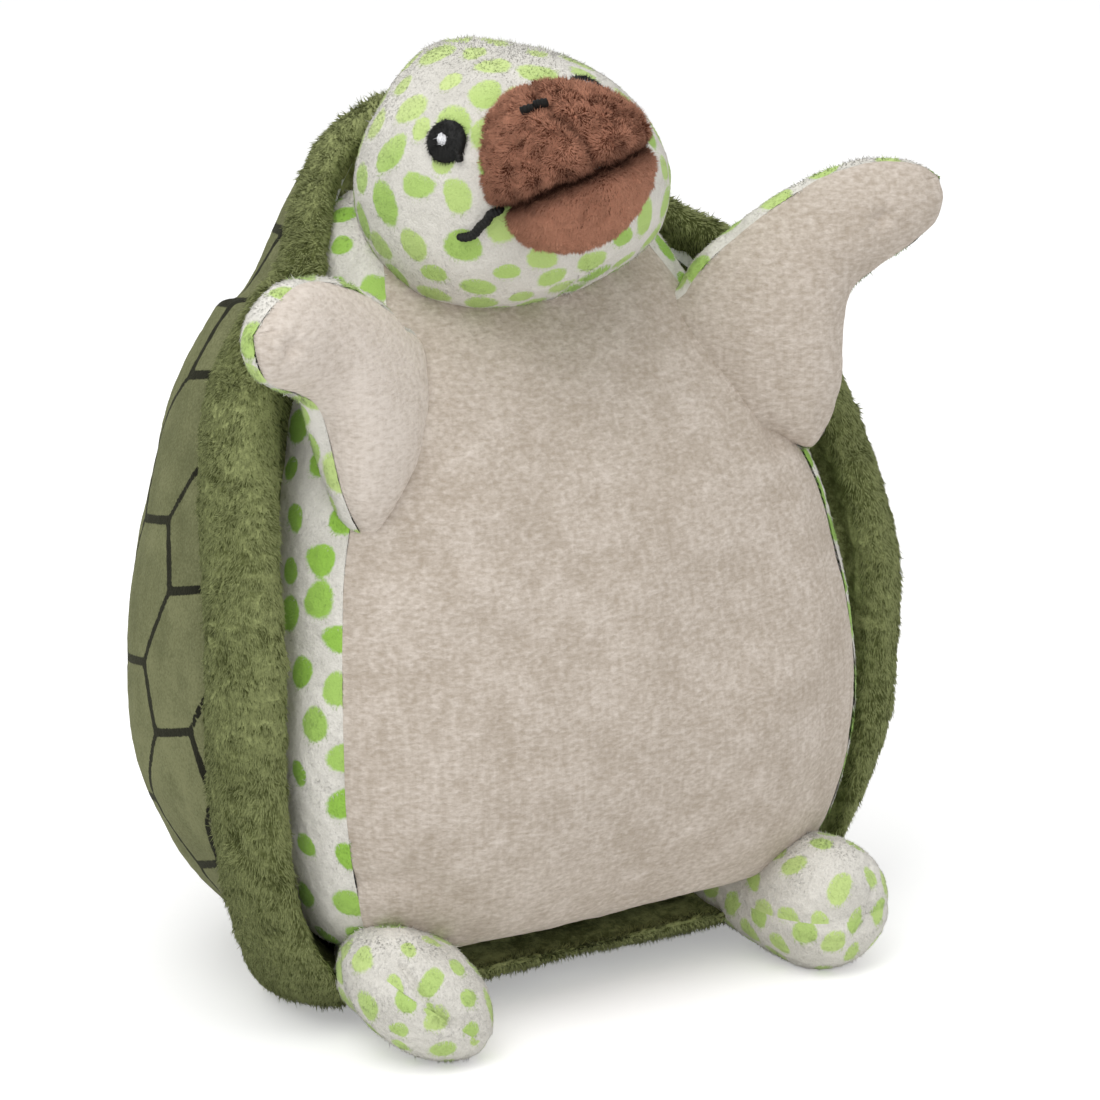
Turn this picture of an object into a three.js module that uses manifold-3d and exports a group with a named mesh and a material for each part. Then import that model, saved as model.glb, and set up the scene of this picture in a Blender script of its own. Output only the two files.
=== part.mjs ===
// Plush turtle: a sitting stuffed turtle with a soft shell, sewn flippers and feet.
// Millimetres, +Z up. The turtle faces -Y and its left side is on +X.
// The origin is on the surface that it sits on, in the middle of the flat underside of the shell rim.
// Every stuffed form is a loft of rings, each cover is the skin of its form, and its filling is the form
// set in from that skin.
import * as THREE from 'three';
import Module from 'manifold-3d';
import { mergeVertices } from 'three/addons/utils/BufferGeometryUtils.js';

const wasm = await Module();
wasm.setup();

// Cloth, seams and clearances
const CLOTH = 2.2;
const BEAK_CLOTH = 1.8;
const SEAM_GAP = 0.3;
const SLIDE_GAP = 0.4;
const SHELL_FILL_GAP = 0.8;
const LINING = 1.0;
const OVERRUN = 400;

// Shell opening: the egg outline of the front edge of the rim
const OPENING_HALF_WIDTH = 59.7;
const OPENING_EGG_SHARE = 0.15;
const OPENING_MIDDLE = 82.5;
const OPENING_HALF_HEIGHT = 72.5;
const OPENING_SQUARE_SHARE = 0.54;
const OPENING_SQUARE_CHANGE_SHARE = 0.285;
const LIP_FORWARD = 29.2;
const LEAN_START = 69.6;
const LEAN_SOFTNESS = 8;
const LEAN_SLOPE_SHARE = 0.507;
const PRESSED_BACK = 15.5;
const PRESSED_START = 130;
const PRESSED_END = 154;
const SLOPE_STEP = 2;
const TURN_NUDGE_SHARE = 0.01;

// Shell rim: a stuffed roll, with its section from the lip round the outside to the rear seam
const ROLL_OUT = 13.1;
const ROLL_DEEP = 17.4;
const ROLL_OUT_SHARES = [0.04, 0.12, 0.4, 0.76, 0.98, 1, 0.86, 0.68];
const ROLL_BACK_SHARES = [0.2, 0.05, -0.045, 0.07, 0.31, 0.57, 0.83, 1];
const HEM_DEEP = 6;
const HEM_SHARE = 0.4;
const HEM_END_SHARE = 0.3;
const ROLL_SLIM_START = 111;
const ROLL_SLIM_END = 161;
const ROLL_SLIM_SHARE = 0.48;

// Underside of the rim: it tucks back from the lip to the flat that the turtle sits on, which
// is where the drop is more than the whole height
const BASE_DEEP = 42;
const BASE_IN_SHARES = [0, 0, 0.01, 0.045, 0.085, 0.12, 0.15, 0.175];
const BASE_BACK_SHARES = [0.09, 0.03, 0.02, 0.12, 0.29, 0.48, 0.92, 1];
const BASE_DROP_SHARES = [0.1, 0.1, 0.28, 0.55, 0.85, 1.02, 1.1, 0.5];
const BASE_BLEND_START = 12;
const BASE_BLEND_END = 44;
const FLAT_CUT = 0.5;

// Carapace: the domed back
const DOME_BACK = 49.5;
const DOME_MIDDLE = 91.5;
const DOME_SQUARE_LOW_SHARE = 0.61;
const DOME_SQUARE_HIGH_SHARE = 0.86;
const DOME_RING_SHARES = [0.07, 0.2, 0.4, 0.65, 0.84];

// Torso: level sections from the seat to the collar behind the head
const TORSO_BOTTOM = 12;
const TORSO_HEIGHT = 132;
const TORSO_FRONT = 47;
const TORSO_BACK = 27;
const TORSO_HALF_WIDTH = 59.5;
const TORSO_SQUARE_SHARE = 0.72;
const TORSO_HEIGHT_SHARES = [
  0, 0.02, 0.05, 0.14, 0.25, 0.36, 0.47, 0.59,
  0.69, 0.785, 0.85, 0.91, 0.955, 0.985, 1,
];
const TORSO_FRONT_SHARES = [
  0.49, 0.66, 0.83, 0.96, 1, 0.98, 0.915, 0.81,
  0.68, 0.53, 0.38, 0.21, 0.06, -0.09, -0.23,
];
const TORSO_BACK_SHARES = [
  -0.22, -0.04, 0.15, 0.26, 0.26, 0.26, 0.26, 0.3,
  0.37, 0.555, 0.74, 0.89, 1, 1.03, 1,
];
const TORSO_WIDTH_SHARES = [
  0.6, 0.77, 0.88, 0.957, 1, 1, 0.975, 0.925,
  0.84, 0.74, 0.655, 0.6, 0.54, 0.44, 0.3,
];
const BELLY_SEAM_SHARES = [
  0.72, 0.84, 0.9, 0.92, 0.925, 0.925, 0.925, 0.92,
  0.9, 0.87, 0.83, 0.8, 0.78, 0.76, 0.74,
];
const BELLY_SEAM_LIFT = 3.5;
const BELLY_SPACE_REAR = 21;
const GUSSET_DEEP = 14;

// Bean pouch in the seat of the torso
const POUCH_HALF_WIDTH = 27;
const POUCH_HALF_DEEP = 14;
const POUCH_HALF_HEIGHT = 9;
const POUCH_FORWARD = 17;
const POUCH_LIFT = 2;
const POUCH_CLOTH = 0.8;
const POUCH_NECK = 2.5;

// Head: nearly a ball, turned to its right, looking up and tilted
const HEAD_SIDE = -2.5;
const HEAD_FORWARD = 6.8;
const HEAD_CENTRE = 149.4;
const HEAD_HALF_WIDTH = 29.6;
const HEAD_HALF_DEEP = 28.5;
const HEAD_UP = 25;
const HEAD_DOWN = 29.2;
const HEAD_TURN_DEG = -15.6;
const HEAD_LOOK_UP_DEG = 21;
const HEAD_TILT_DEG = -16;
const NECK_SOCKET = 30.3;
const NECK_PAD = 3;
const NECK_PAD_CONE_DEG = 22;
const NECK_OPENING_CONE_DEG = 15;
const NECK_PAD_ROOM_DEG = 1;

// Beak: a padded ball set on the front of the head
const BEAK_HALF_WIDTH = 16.3;
const BEAK_HALF_DEEP = 14;
const BEAK_HALF_HEIGHT = 16;
const BEAK_SIDE = 1;
const BEAK_AHEAD = 27;
const BEAK_BELOW = 3.5;
const MOUTH_BELOW = 8.5;

// Flippers: flat pads with a lower lobe, sewn along a slanted line on the chest
const FLIPPER_TOP = [28, 19, 126.5];
const FLIPPER_LOW = [40, 30, 99];
const FLIPPER_TIP_OUT = 73.3;
const FLIPPER_TIP_AHEAD = 37;
const FLIPPER_TIP_LEFT_HEIGHT = 138;
const FLIPPER_TIP_RIGHT_HEIGHT = 133.5;
const FLIPPER_WIDE = 22;
const FLIPPER_THICK = 7.2;
const FLIPPER_BEHIND = 6;
const FLIPPER_ALONG_SHARES = [0, 0.1, 0.3, 0.5, 0.66, 0.82, 0.94, 1.01, 1.04];
const FLIPPER_UPPER_SHARES = [0.76, 0.87, 0.93, 0.93, 0.9, 0.8, 0.63, 0.47, 0.34];
const FLIPPER_LOWER_SHARES = [-0.76, -1, -0.72, -0.14, -0.06, -0.05, 0, 0.13, 0.26];
const FLIPPER_FORWARD_DEG = 30;
const FLIPPER_REARWARD_DEG = 20;
const LIMB_SQUARE_SHARE = 0.9;
const LEAST_FILL_SHARE = 0.2;
const FLIPPER_THICK_SHARES = [1, 1.03, 1.03, 0.96, 0.9, 0.8, 0.64, 0.42, 0.1];

// Feet: paddles that swell toward the toe and splay outward
const FOOT_OUT = 39.5;
const FOOT_AHEAD = 23;
const FOOT_LENGTH = 30.5;
const FOOT_HALF_WIDTH = 13.5;
const FOOT_HALF_HEIGHT = 12.5;
const FOOT_BASE = 9.2;
const FOOT_SPLAY_DEG = 14;
const FOOT_BASE_TAPER_SHARE = 0.4;
const FOOT_LIFT_DEG = 12;
const FOOT_DROOP_DEG = 12;
const FOOT_ALONG_SHARES = [0, 0.2, 0.45, 0.65, 0.82, 0.93, 0.985];
const FOOT_WIDTH_SHARES = [0.7, 0.86, 0.99, 1, 0.86, 0.6, 0.28];
const FOOT_HEIGHT_SHARES = [0.736, 0.86, 0.98, 1, 0.85, 0.58, 0.27];

// Mesh counts
const RIM_TURNS = 32;
const RIM_STEPS = 8;
const TORSO_TURNS = 20;
const TORSO_STEPS = 12;
const HEAD_TURNS = 20;
const HEAD_STEPS = 10;
const BEAK_TURNS = 14;
const BEAK_STEPS = 8;
const LIMB_TURNS = 12;
const LIMB_BASE_STEPS = 2;
const SWEEP_STEPS = 5;
const SOCKET_TURNS = 20;
const SOCKET_STEPS = 10;
const POUCH_TURNS = 10;
const POUCH_STEPS = 4;

// Colours
const OLIVE = 0x5e6440;
const OLIVE_PANEL = 0x737257;
const CREAM = 0xc9bdb2;
const SPOTTED = 0xd5d8bc;
const BROWN = 0x885e4d;
const STUFFING = 0xf0f0ec;
const CALICO = 0xe6dfd0;
const PELLET = 0xdcdcdc;

// A smooth curve through a short table
function smoothTable(places, values) {
  const last = places.length - 1;
  const slopes = values.map((_, i) => {
    const low = Math.max(i - 1, 0);
    const high = Math.min(i + 1, last);
    return (values[high] - values[low]) / (places[high] - places[low]);
  });
  return (place) => {
    let i = 0;
    while (i < last - 1 && place > places[i + 1]) i += 1;
    const span = places[i + 1] - places[i];
    const u = Math.min(Math.max((place - places[i]) / span, 0), 1);
    const startPart = (1 + 2 * u) * (1 - u) ** 2 * values[i] + u * (1 - u) ** 2 * span * slopes[i];
    const endPart = u * u * (3 - 2 * u) * values[i + 1] + u * u * (u - 1) * span * slopes[i + 1];
    return startPart + endPart;
  };
}

function evenShares(count) {
  return Array.from({ length: count }, (_, i) => i / (count - 1));
}

function smoothStep(value, low, high) {
  const u = Math.min(Math.max((value - low) / (high - low), 0), 1);
  return u * u * (3 - 2 * u);
}

function signedPower(value, power) {
  return Math.sign(value) * Math.abs(value) ** power;
}

// A closed mesh from rings of points; a ring of one point is a pole
function ringSolid(rings, closed = false) {
  const points = [];
  const starts = rings.map((ring) => {
    const start = points.length;
    points.push(...ring);
    return start;
  });
  const faces = [];
  const pairs = closed ? rings.length : rings.length - 1;
  for (let r = 0; r < pairs; r += 1) {
    const next = (r + 1) % rings.length;
    const turns = Math.max(rings[r].length, rings[next].length);
    for (let i = 0; i < turns; i += 1) {
      const j = (i + 1) % turns;
      const lowOne = starts[r] + (rings[r].length > 1 ? i : 0);
      const lowTwo = starts[r] + (rings[r].length > 1 ? j : 0);
      const highOne = starts[next] + (rings[next].length > 1 ? i : 0);
      const highTwo = starts[next] + (rings[next].length > 1 ? j : 0);
      if (lowOne !== lowTwo) faces.push([lowOne, lowTwo, highTwo]);
      if (highOne !== highTwo) faces.push([lowOne, highTwo, highOne]);
    }
  }
  const volume = faces.reduce((sum, [a, b, c]) => {
    const cross = new THREE.Vector3().crossVectors(points[b], points[c]);
    return sum + points[a].dot(cross);
  }, 0);
  const order = volume > 0 ? faces : faces.map(([a, b, c]) => [a, c, b]);
  const geometry = new THREE.BufferGeometry();
  geometry.setAttribute('position', new THREE.Float32BufferAttribute(points.flatMap((p) => p.toArray()), 3));
  geometry.setIndex(order.flat());
  return toSolid(geometry);
}

// The middle point of a ring, which closes a blunt end
function ringMiddle(ring) {
  const sum = ring.reduce((total, point) => total.add(point), new THREE.Vector3());
  return [sum.divideScalar(ring.length)];
}

function toSolid(geometry) {
  const bare = geometry.clone();
  bare.deleteAttribute('normal');
  bare.deleteAttribute('uv');
  const merged = mergeVertices(bare);
  const vertProperties = new Float32Array(merged.attributes.position.array);
  const triVerts = new Uint32Array(merged.index.array);
  return new wasm.Manifold(new wasm.Mesh({ numProp: 3, vertProperties, triVerts }));
}

function toGeometry(solid) {
  const mesh = solid.getMesh();
  const geometry = new THREE.BufferGeometry();
  geometry.setAttribute('position', new THREE.Float32BufferAttribute(mesh.vertProperties, 3));
  geometry.setIndex(Array.from(mesh.triVerts));
  geometry.computeVertexNormals();
  return geometry;
}

// A ball or egg whose lower half can be deeper than its upper half
function ball(halfWidth, halfDeep, up, down, turns, steps) {
  const rings = [];
  for (let r = 0; r <= steps; r += 1) {
    const rise = (r / steps - 0.5) * Math.PI;
    const height = Math.sin(rise) * (rise > 0 ? up : down);
    if (r === 0 || r === steps) {
      rings.push([new THREE.Vector3(0, 0, height)]);
      continue;
    }
    const ring = [];
    for (let i = 0; i < turns; i += 1) {
      const turn = (i / turns) * 2 * Math.PI;
      const x = halfWidth * Math.cos(rise) * Math.sin(turn);
      const y = -halfDeep * Math.cos(rise) * Math.cos(turn);
      ring.push(new THREE.Vector3(x, y, height));
    }
    rings.push(ring);
  }
  return rings;
}

function place(rings, matrix) {
  return rings.map((ring) => ring.map((point) => point.clone().applyMatrix4(matrix)));
}

// A block that keeps all of space beyond a level, along one axis and on one side of it
function beyond(axis, level, side) {
  const box = new THREE.BoxGeometry(OVERRUN, OVERRUN, OVERRUN);
  const middle = level + (side * OVERRUN) / 2;
  box.translate(axis === 'x' ? middle : 0, axis === 'y' ? middle : 0, axis === 'z' ? middle : 0);
  return box;
}

const headCentre = new THREE.Vector3(HEAD_SIDE, -HEAD_FORWARD, HEAD_CENTRE);

// Shell opening and rim
function lean(height) {
  const rise = Math.max(height - LEAN_START, 0) * LEAN_SLOPE_SHARE;
  const pressed = PRESSED_BACK * smoothStep(height, PRESSED_START, PRESSED_END);
  return Math.hypot(LEAN_SOFTNESS, rise) - LEAN_SOFTNESS + pressed;
}

function leanSlope(height) {
  return (lean(height + SLOPE_STEP) - lean(height - SLOPE_STEP)) / (2 * SLOPE_STEP);
}

function openingPoint(turn) {
  const power = OPENING_SQUARE_SHARE - OPENING_SQUARE_CHANGE_SHARE * Math.cos(turn);
  const egg = 1 + OPENING_EGG_SHARE * Math.cos(turn);
  const x = OPENING_HALF_WIDTH * egg * signedPower(Math.sin(turn), power);
  return [x, OPENING_MIDDLE - OPENING_HALF_HEIGHT * Math.cos(turn)];
}

function openingNormal(turn) {
  const [x0, z0] = openingPoint(turn - TURN_NUDGE_SHARE);
  const [x1, z1] = openingPoint(turn + TURN_NUDGE_SHARE);
  const length = Math.hypot(x1 - x0, z1 - z0);
  return [(z1 - z0) / length, (x0 - x1) / length];
}

const rollPlaces = evenShares(ROLL_OUT_SHARES.length);
const rollOut = smoothTable(rollPlaces, ROLL_OUT_SHARES);
const rollBack = smoothTable(rollPlaces, ROLL_BACK_SHARES);
const baseIn = smoothTable(rollPlaces, BASE_IN_SHARES);
const baseBack = smoothTable(rollPlaces, BASE_BACK_SHARES);
const baseDrop = smoothTable(rollPlaces, BASE_DROP_SHARES);

function rimPoint(turn, share) {
  const [x, z] = openingPoint(turn);
  const [outX, outZ] = openingNormal(turn);
  const slim = 1 - ROLL_SLIM_SHARE * smoothStep(z, ROLL_SLIM_START, ROLL_SLIM_END);
  const out = ROLL_OUT * rollOut(share) * slim;
  const back = ROLL_DEEP * rollBack(share) * slim;
  const slope = leanSlope(z);
  const level = 1 / Math.hypot(1, slope);
  const lip = lean(z) - LIP_FORWARD;
  const side = new THREE.Vector3(
    x + out * outX,
    lip + (out * outZ * slope + back) * level,
    z + (out * outZ - back * slope) * level,
  );
  const under = new THREE.Vector3(
    x * (1 - baseIn(share)),
    lip + BASE_DEEP * baseBack(share),
    z * (1 - baseDrop(share)),
  );
  return under.lerp(side, smoothStep(z, BASE_BLEND_START, BASE_BLEND_END));
}

function domePoint(turn, share) {
  const seam = rimPoint(turn, 1);
  const spread = OPENING_HALF_HEIGHT / 2;
  const high = smoothStep(seam.z, DOME_MIDDLE - spread, DOME_MIDDLE + spread);
  const power = DOME_SQUARE_LOW_SHARE + (DOME_SQUARE_HIGH_SHARE - DOME_SQUARE_LOW_SHARE) * high;
  const near = Math.cos((share * Math.PI) / 2) ** power;
  const far = Math.sin((share * Math.PI) / 2) ** power;
  return new THREE.Vector3(
    seam.x * near,
    seam.y * (1 - far) + DOME_BACK * far,
    DOME_MIDDLE + (seam.z - DOME_MIDDLE) * near,
  );
}

// A ring of a surface, set in by a distance along its normal and kept above the ground
function insetRing(surface, share, inset) {
  const ring = [];
  const before = Math.max(share - TURN_NUDGE_SHARE, 0);
  const after = Math.min(share + TURN_NUDGE_SHARE, 1);
  for (let i = 0; i < RIM_TURNS; i += 1) {
    const turn = ((i + 0.5) / RIM_TURNS) * 2 * Math.PI - Math.PI;
    const along = surface(turn, after).sub(surface(turn, before));
    const round = surface(turn + TURN_NUDGE_SHARE, share).sub(surface(turn - TURN_NUDGE_SHARE, share));
    const normal = round.cross(along).normalize();
    const point = surface(turn, share).addScaledVector(normal, inset);
    point.z = Math.max(point.z, inset);
    ring.push(point);
  }
  return ring;
}

// The cloth thins to a turned hem at the lip
function rimRings(inset) {
  return evenShares(RIM_STEPS + 1).map((share) => {
    const hem = HEM_SHARE + (1 - HEM_SHARE) * smoothStep(share, 0, HEM_END_SHARE);
    return insetRing(rimPoint, share, inset * hem);
  });
}

function domeRings(inset, start) {
  const shares = [start, ...DOME_RING_SHARES];
  const rings = shares.map((share) => insetRing(domePoint, share, inset));
  rings.push([new THREE.Vector3(0, DOME_BACK - inset, DOME_MIDDLE)]);
  return rings;
}

// Everything inside the shell, from a place on the rim's section back to the dome
function shellFormRings(inset, startShare = 0) {
  const rim = rimRings(inset).slice(Math.ceil(startShare * RIM_STEPS));
  const dome = domeRings(inset, 0);
  return [ringMiddle(rim[0]), ...rim, ...dome];
}

function shellSolid(inset, startShare = 0) {
  return ringSolid(shellFormRings(inset, startShare));
}

// The space behind the leaning plane of the opening, set back from it
function behindOpening(back) {
  const top = OPENING_MIDDLE + OPENING_HALF_HEIGHT * 2;
  const outline = new THREE.Shape();
  outline.moveTo(lean(-OPENING_MIDDLE) - LIP_FORWARD + back, -OPENING_MIDDLE);
  for (const share of evenShares(HEAD_STEPS)) {
    const height = LEAN_START + (top - LEAN_START) * share;
    outline.lineTo(lean(height) - LIP_FORWARD + back, height);
  }
  outline.lineTo(OVERRUN, top);
  outline.lineTo(OVERRUN, -OPENING_MIDDLE);
  const slab = new THREE.ExtrudeGeometry(outline, { depth: OVERRUN, bevelEnabled: false });
  slab.translate(0, 0, -OVERRUN / 2);
  slab.applyMatrix4(new THREE.Matrix4().makeBasis(
    new THREE.Vector3(0, 1, 0),
    new THREE.Vector3(0, 0, 1),
    new THREE.Vector3(1, 0, 0),
  ));
  return toSolid(slab);
}

// Torso
const torsoFront = smoothTable(TORSO_HEIGHT_SHARES, TORSO_FRONT_SHARES);
const torsoBack = smoothTable(TORSO_HEIGHT_SHARES, TORSO_BACK_SHARES);
const torsoWidth = smoothTable(TORSO_HEIGHT_SHARES, TORSO_WIDTH_SHARES);
const bellySeam = smoothTable(TORSO_HEIGHT_SHARES, BELLY_SEAM_SHARES);

function torsoRings(inset, turns = TORSO_TURNS) {
  const rings = [];
  for (let r = 0; r <= TORSO_STEPS; r += 1) {
    const even = r / TORSO_STEPS;
    const share = even - Math.sin(2 * Math.PI * even) / (4 * Math.PI);
    const height = TORSO_BOTTOM + inset + (TORSO_HEIGHT - 2 * inset) * share;
    const front = -TORSO_FRONT * torsoFront(share) + inset;
    const back = TORSO_BACK * torsoBack(share) - inset;
    const halfWidth = TORSO_HALF_WIDTH * torsoWidth(share) - inset;
    const ring = [];
    for (let i = 0; i < turns; i += 1) {
      const turn = (i / turns) * 2 * Math.PI;
      const x = halfWidth * signedPower(Math.sin(turn), TORSO_SQUARE_SHARE);
      const y = (front + back) / 2 - ((back - front) / 2) * signedPower(Math.cos(turn), TORSO_SQUARE_SHARE);
      ring.push(new THREE.Vector3(x, y, height));
    }
    rings.push(ring);
  }
  return [ringMiddle(rings[0]), ...rings, ringMiddle(rings[rings.length - 1])];
}

function torsoSolid(inset, turns = TORSO_TURNS) {
  return ringSolid(torsoRings(inset, turns));
}

// The space in front that the belly panel fills, wider by a margin
function bellySpace(margin) {
  const outline = new THREE.Shape();
  const bottom = TORSO_BOTTOM + BELLY_SEAM_LIFT - margin;
  const seam = (share) => TORSO_HALF_WIDTH * torsoWidth(share) * bellySeam(share) + margin;
  const rise = TORSO_BOTTOM + TORSO_HEIGHT - bottom;
  const shares = evenShares(TORSO_STEPS);
  outline.moveTo(seam(0), bottom);
  shares.slice(1).forEach((share) => outline.lineTo(seam(share), bottom + rise * share));
  shares.slice().reverse().forEach((share) => outline.lineTo(-seam(share), bottom + rise * share));
  const slab = new THREE.ExtrudeGeometry(outline, { depth: OVERRUN, bevelEnabled: false });
  slab.applyMatrix4(new THREE.Matrix4().makeBasis(
    new THREE.Vector3(1, 0, 0),
    new THREE.Vector3(0, 0, 1),
    new THREE.Vector3(0, -1, 0),
  ));
  slab.translate(0, -BELLY_SPACE_REAR, 0);
  return toSolid(slab);
}

// Head and beak
const headTurn = new THREE.Matrix4().makeTranslation(headCentre)
  .multiply(new THREE.Matrix4().makeRotationZ(THREE.MathUtils.degToRad(HEAD_TURN_DEG)))
  .multiply(new THREE.Matrix4().makeRotationX(THREE.MathUtils.degToRad(-HEAD_LOOK_UP_DEG)))
  .multiply(new THREE.Matrix4().makeRotationY(THREE.MathUtils.degToRad(HEAD_TILT_DEG)));
const headUpright = new THREE.Matrix4().makeTranslation(headCentre);

function headSolid(inset, coarse = 1) {
  const rings = ball(
    HEAD_HALF_WIDTH - inset,
    HEAD_HALF_DEEP - inset,
    HEAD_UP - inset,
    HEAD_DOWN - inset,
    HEAD_TURNS / coarse,
    HEAD_STEPS / coarse,
  );
  return ringSolid(place(rings, headTurn));
}

function beakSolid(inset) {
  const height = BEAK_HALF_HEIGHT - inset;
  const rings = ball(BEAK_HALF_WIDTH - inset, BEAK_HALF_DEEP - inset, height, height, BEAK_TURNS, BEAK_STEPS);
  const seat = new THREE.Matrix4().makeTranslation(BEAK_SIDE, -BEAK_AHEAD, -BEAK_BELOW);
  return ringSolid(place(rings, headTurn.clone().multiply(seat)));
}

function socketBall(radius) {
  return ringSolid(place(ball(radius, radius, radius, radius, SOCKET_TURNS, SOCKET_STEPS), headUpright));
}

// A cone that opens downward from the middle of the head
function neckCone(angleDeg) {
  const radius = OVERRUN * Math.tan(THREE.MathUtils.degToRad(angleDeg));
  const cone = new THREE.ConeGeometry(radius, OVERRUN, SOCKET_TURNS);
  cone.rotateX(Math.PI / 2);
  cone.translate(0, 0, -OVERRUN / 2);
  cone.applyMatrix4(headUpright);
  return toSolid(cone);
}

// The part of space on one side of a plane of the head's own frame
function headSide(axis, level, side) {
  return toSolid(beyond(axis, level, side).applyMatrix4(headTurn));
}

// Flippers: the frame runs along the flipper, up its base line and out of its palm
function flipperFrame(side) {
  const top = new THREE.Vector3(side * FLIPPER_TOP[0], -FLIPPER_TOP[1], FLIPPER_TOP[2]);
  const low = new THREE.Vector3(side * FLIPPER_LOW[0], -FLIPPER_LOW[1], FLIPPER_LOW[2]);
  const tipHeight = side > 0 ? FLIPPER_TIP_LEFT_HEIGHT : FLIPPER_TIP_RIGHT_HEIGHT;
  const tip = new THREE.Vector3(side * FLIPPER_TIP_OUT, -FLIPPER_TIP_AHEAD, tipHeight);
  const base = top.clone().add(low).divideScalar(2);
  const along = tip.clone().sub(base);
  const length = along.length();
  along.normalize();
  const up = top.clone().sub(low);
  up.addScaledVector(along, -up.dot(along)).normalize();
  const palm = along.clone().cross(up).multiplyScalar(side);
  const origin = base.addScaledVector(palm, -FLIPPER_BEHIND);
  return { origin, along, up, palm, length };
}

const flipperUpper = smoothTable(FLIPPER_ALONG_SHARES, FLIPPER_UPPER_SHARES);
const flipperLower = smoothTable(FLIPPER_ALONG_SHARES, FLIPPER_LOWER_SHARES);
const flipperThick = smoothTable(FLIPPER_ALONG_SHARES, FLIPPER_THICK_SHARES);

// One ring across a limb, at a distance along it
function limbRing(frame, distance, low, high, half, turns) {
  const ring = [];
  for (let i = 0; i < turns; i += 1) {
    const turn = (i / turns) * 2 * Math.PI;
    const across = (high + low) / 2 + ((high - low) / 2) * Math.cos(turn);
    const out = half * signedPower(Math.sin(turn), LIMB_SQUARE_SHARE);
    ring.push(frame.origin.clone()
      .addScaledVector(frame.along, distance)
      .addScaledVector(frame.up, across)
      .addScaledVector(frame.palm, out));
  }
  return ring;
}

function flipperSolid(side, inset) {
  const frame = flipperFrame(side);
  const rings = [];
  for (let r = 0; r < LIMB_BASE_STEPS; r += 1) {
    const turn = ((r + 1) / (LIMB_BASE_STEPS + 1)) * (Math.PI / 2);
    const thick = FLIPPER_THICK - inset;
    const wide = FLIPPER_WIDE * FLIPPER_UPPER_SHARES[0] - FLIPPER_THICK * (1 - Math.sin(turn)) - inset;
    rings.push(limbRing(frame, -thick * Math.cos(turn), -wide, wide, thick * Math.sin(turn), LIMB_TURNS));
  }
  const last = FLIPPER_ALONG_SHARES[FLIPPER_ALONG_SHARES.length - 1];
  for (const share of FLIPPER_ALONG_SHARES) {
    const distance = share * frame.length * (1 - inset / (last * frame.length));
    const low = FLIPPER_WIDE * flipperLower(share);
    const high = FLIPPER_WIDE * flipperUpper(share);
    const half = FLIPPER_THICK * flipperThick(share);
    const shrink = Math.max(1 - inset / half, LEAST_FILL_SHARE);
    const middle = (low + high) / 2;
    const reach = Math.max((high - low) / 2 - inset, ((high - low) / 2) * LEAST_FILL_SHARE);
    rings.push(limbRing(frame, distance, middle - reach, middle + reach, half * shrink, LIMB_TURNS));
  }
  return ringSolid([ringMiddle(rings[0]), ...rings, ringMiddle(rings[rings.length - 1])]);
}

// A round recess along a limb's hinge line, where the limb is sewn in
function hingeRecess(frame, radius, halfLength) {
  const recess = new THREE.CylinderGeometry(radius, radius, halfLength * 2, SOCKET_TURNS);
  const matrix = new THREE.Matrix4().makeBasis(frame.along, frame.up, frame.along.clone().cross(frame.up));
  matrix.setPosition(frame.origin);
  return toSolid(recess.applyMatrix4(matrix));
}

// All the places that a still form takes, as seen from a limb that turns through its range
function sweep(rings, frame, fromDeg, toDeg) {
  return evenShares(SWEEP_STEPS).map((share) => {
    const turn = THREE.MathUtils.degToRad(fromDeg + (toDeg - fromDeg) * share);
    const matrix = new THREE.Matrix4().makeTranslation(frame.origin)
      .multiply(new THREE.Matrix4().makeRotationAxis(frame.up, turn))
      .multiply(new THREE.Matrix4().makeTranslation(frame.origin.clone().negate()));
    return ringSolid(place(rings, matrix));
  }).reduce((sum, solid) => sum.add(solid));
}

// Keeps one side of the middle sheet of a limb
function limbSide(frame, side) {
  const block = new THREE.BoxGeometry(OVERRUN, OVERRUN, OVERRUN);
  block.translate(0, 0, (side * (OVERRUN + SEAM_GAP)) / 2);
  const across = frame.palm.clone().cross(frame.along);
  const matrix = new THREE.Matrix4().makeBasis(frame.along, across, frame.palm);
  matrix.setPosition(frame.origin);
  return toSolid(block.applyMatrix4(matrix));
}

// Feet: the frame runs forward along the foot, across it and up through its top
function footFrame(side) {
  const splay = THREE.MathUtils.degToRad(FOOT_SPLAY_DEG);
  const origin = new THREE.Vector3(side * FOOT_OUT, -FOOT_AHEAD, FOOT_HALF_HEIGHT - FLAT_CUT);
  const along = new THREE.Vector3(side * Math.sin(splay), -Math.cos(splay), 0);
  const up = new THREE.Vector3(Math.cos(splay), side * Math.sin(splay), 0);
  return { origin, along, up, palm: new THREE.Vector3(0, 0, 1), length: FOOT_LENGTH };
}

const footWidth = smoothTable(FOOT_ALONG_SHARES, FOOT_WIDTH_SHARES);
const footHeight = smoothTable(FOOT_ALONG_SHARES, FOOT_HEIGHT_SHARES);

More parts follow.
